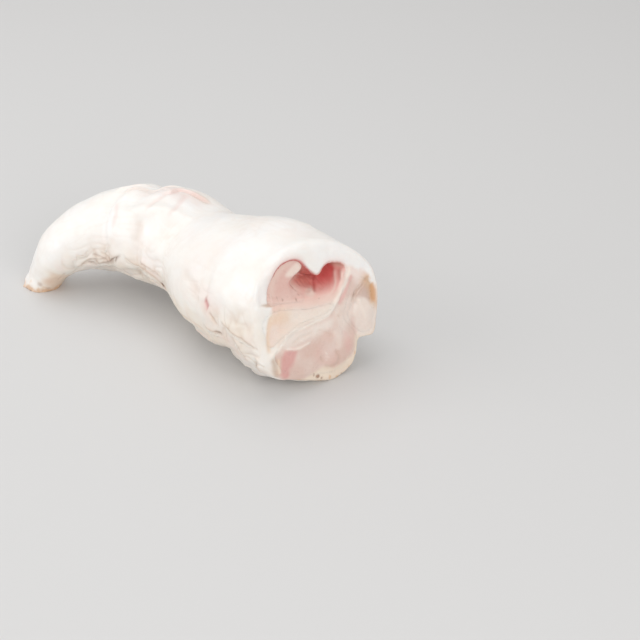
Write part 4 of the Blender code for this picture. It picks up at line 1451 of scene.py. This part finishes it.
class TendonLooks(bpy.types.PropertyGroup):
    """Sizes and colours of the tendon."""

    voxel: length("Mesh size", "Size of the sheath's mesh cells", 0.00052)
    cord_voxel: length("Cord mesh size", "Size of the mesh cells on the cords' faces", 0.0004)
    white: colour("White", "The sheath's cleanest skin", (0.93, 0.92, 0.905))
    cream: colour("Cream", "The sheath where it is yellower", (0.90, 0.86, 0.80))
    blush: colour("Blush", "Pink of the thin skin over the folds", (0.82, 0.58, 0.53))
    # Tan is painted shade where it is laid in creases, grooves, film roots and under the pocket's rim; in
    # the soft stains it is the skin's own colour.
    tan: colour("Tan", "Inside the creases", (0.66, 0.50, 0.39))
    # Taupe is painted shade, laid in the grooves and steps of the cut.
    taupe_shadow: colour("Taupe", "The darker creases of the cut", (0.54, 0.38, 0.27))
    orange: colour("Orange", "The deepest part of the side cord's crease", (0.68, 0.33, 0.12))
    # Painted shade for the hollow above the side cord.
    side_hollow_shadow: colour("Side shade", "The hollow above the side cord", (0.62, 0.45, 0.38))
    # On the long ridge this pale is partly painted highlight.
    ridge_white: colour("Ridge white", "The thin pale ridges on the cut", (0.94, 0.86, 0.78))
    # Brown laid along the deepest creases is partly painted shade and partly the skin's colour; the dots
    # and small stains are the tissue's own.
    brown: colour("Brown", "The deepest creases", (0.36, 0.20, 0.13))
    red: colour("Red", "A small bruise", (0.66, 0.34, 0.33))
    fringe: colour("Fringe", "The dried hem at the tail", (0.70, 0.42, 0.22))
    face_pink: colour("Rim pink", "The sheath where it is cut", (0.90, 0.79, 0.74))
    rim_cream: colour("Rim cream", "The torn lower rim of the cut", (0.88, 0.77, 0.63))
    pocket_floor: colour("Pocket floor", "The pale lip of the pocket", (0.86, 0.68, 0.60))
    wall_pink: colour("Pocket pink", "The mouth of the pocket", (0.85, 0.52, 0.46))
    wall_red: colour("Pocket red", "The red side of the pocket", (0.69, 0.14, 0.13))
    gap_red: colour("Gap red", "The gap beside the small cord", (0.68, 0.23, 0.19))
    edge_red: colour("Edge red", "The thin red line round the pocket's left lobe", (0.58, 0.12, 0.11))
    lobe: colour("Small cord", "The small cord in the pocket", (0.76, 0.50, 0.44))
    lobe_light: colour("Small cord's foot", "The lower end of the small cord", (0.82, 0.64, 0.56))
    # This pale is partly a painted highlight on the small cord's wet edge.
    lobe_pale: colour("Small cord's edge", "The pale rounded edge of the small cord", (0.87, 0.74, 0.66))
    side: colour("Side cord", "The cord at the right", (0.86, 0.76, 0.69))
    arm: colour("Arm", "The deep cord's thin upper arm", (0.76, 0.53, 0.47))
    pink_strip: colour("Pink strip", "The pink strip beside the arm", (0.78, 0.47, 0.43))
    band: colour("Band", "The flat cord", (0.87, 0.70, 0.60))
    peach: colour("Peach", "The band's outer end", (0.86, 0.66, 0.50))
    flesh: colour("Cord", "The larger cords", (0.73, 0.54, 0.47))
    patch: colour("Patch", "The red patch of the deep cord", (0.72, 0.38, 0.35))
    crease: colour("Orange crease", "The crease of the side cord", (0.74, 0.47, 0.26))


class TENDON_OT_sheath(bpy.types.Operator):
    """Build the sheath with its folds, pocket and ragged tail"""

    bl_idname = "tendon.sheath"
    bl_label = "Sheath"

    def execute(self, context):
        voxel = settings().voxel / MM * 1
        dress(make_sheath(voxel, SHEATH_BUDGET), "sheath", "sheath")
        return {"FINISHED"}


class TENDON_OT_films(bpy.types.Operator):
    """Build the thin torn films that hang on the sheath"""

    bl_idname = "tendon.films"
    bl_label = "Torn films"

    def execute(self, context):
        dress(make_films(), "films", "sheath")
        return {"FINISHED"}


class TENDON_OT_cords(bpy.types.Operator):
    """Build the four cords that run through the sheath"""

    bl_idname = "tendon.cords"
    bl_label = "Cords"

    def execute(self, context):
        for name in CORD_OUTLINES:
            dress(make_cord(name, settings().cord_voxel / MM), "cord", name)
        return {"FINISHED"}


class TENDON_OT_stage(bpy.types.Operator):
    """Add the pale table, the soft lights and the camera"""

    bl_idname = "tendon.stage"
    bl_label = "Table, lights and camera"

    def execute(self, context):
        bpy.ops.object.select_all(action="DESELECT")
        bpy.ops.mesh.primitive_plane_add(size=8)
        floor = bpy.context.object
        floor.name = "table"
        material = bpy.data.materials.new("table")
        material.use_nodes = True
        shader = material.node_tree.nodes["Principled BSDF"]
        shader.inputs["Base Color"].default_value = TABLE_GREY
        shader.inputs["Roughness"].default_value = 0.6
        floor.data.materials.append(material)
        world = bpy.data.worlds.new("studio")
        world.use_nodes = True
        background = world.node_tree.nodes["Background"]
        background.inputs["Color"].default_value = SKY
        background.inputs["Strength"].default_value = SKY_STRENGTH
        context.scene.world = world
        for name, (place, size, power) in LIGHTS.items():
            bpy.ops.object.light_add(type="AREA", location=place)
            light = bpy.context.object
            light.name = name
            light.data.shape = "SQUARE"
            light.data.size = size
            light.data.energy = power
            aim(light, LIGHT_AIM)
        bpy.ops.object.camera_add(location=CAMERA_PLACE)
        camera = bpy.context.object
        camera.name = "camera"
        camera.data.lens = CAMERA_LENS
        camera.data.sensor_width = 36
        camera.data.clip_start = 0.01
        aim(camera, CAMERA_AIM)
        context.scene.camera = camera
        context.scene.view_settings.view_transform = "Standard"
        return {"FINISHED"}


class TENDON_PT_panel(bpy.types.Panel):
    """The tendon's pieces, in the order they are built"""

    bl_label = "Raw beef tendon"
    bl_space_type = "VIEW_3D"
    bl_region_type = "UI"
    bl_category = "Tendon"

    def draw(self, context):
        for operator in OPERATORS:
            self.layout.operator(operator.bl_idname)
        for name in TendonLooks.__annotations__:
            self.layout.prop(context.scene.tendon_looks, name)


OPERATORS = (TENDON_OT_sheath, TENDON_OT_films, TENDON_OT_cords, TENDON_OT_stage)
CLASSES = (TendonLooks,) + OPERATORS + (TENDON_PT_panel,)


def register():
    for cls in CLASSES:
        bpy.utils.register_class(cls)
    bpy.types.Scene.tendon_looks = PointerProperty(type=TendonLooks)


def unregister():
    del bpy.types.Scene.tendon_looks
    for cls in reversed(CLASSES):
        bpy.utils.unregister_class(cls)


def main():
    register()
    bpy.ops.tendon.sheath()
    bpy.ops.tendon.films()
    bpy.ops.tendon.cords()
    bpy.ops.tendon.stage()


if __name__ == "__main__":
    main()
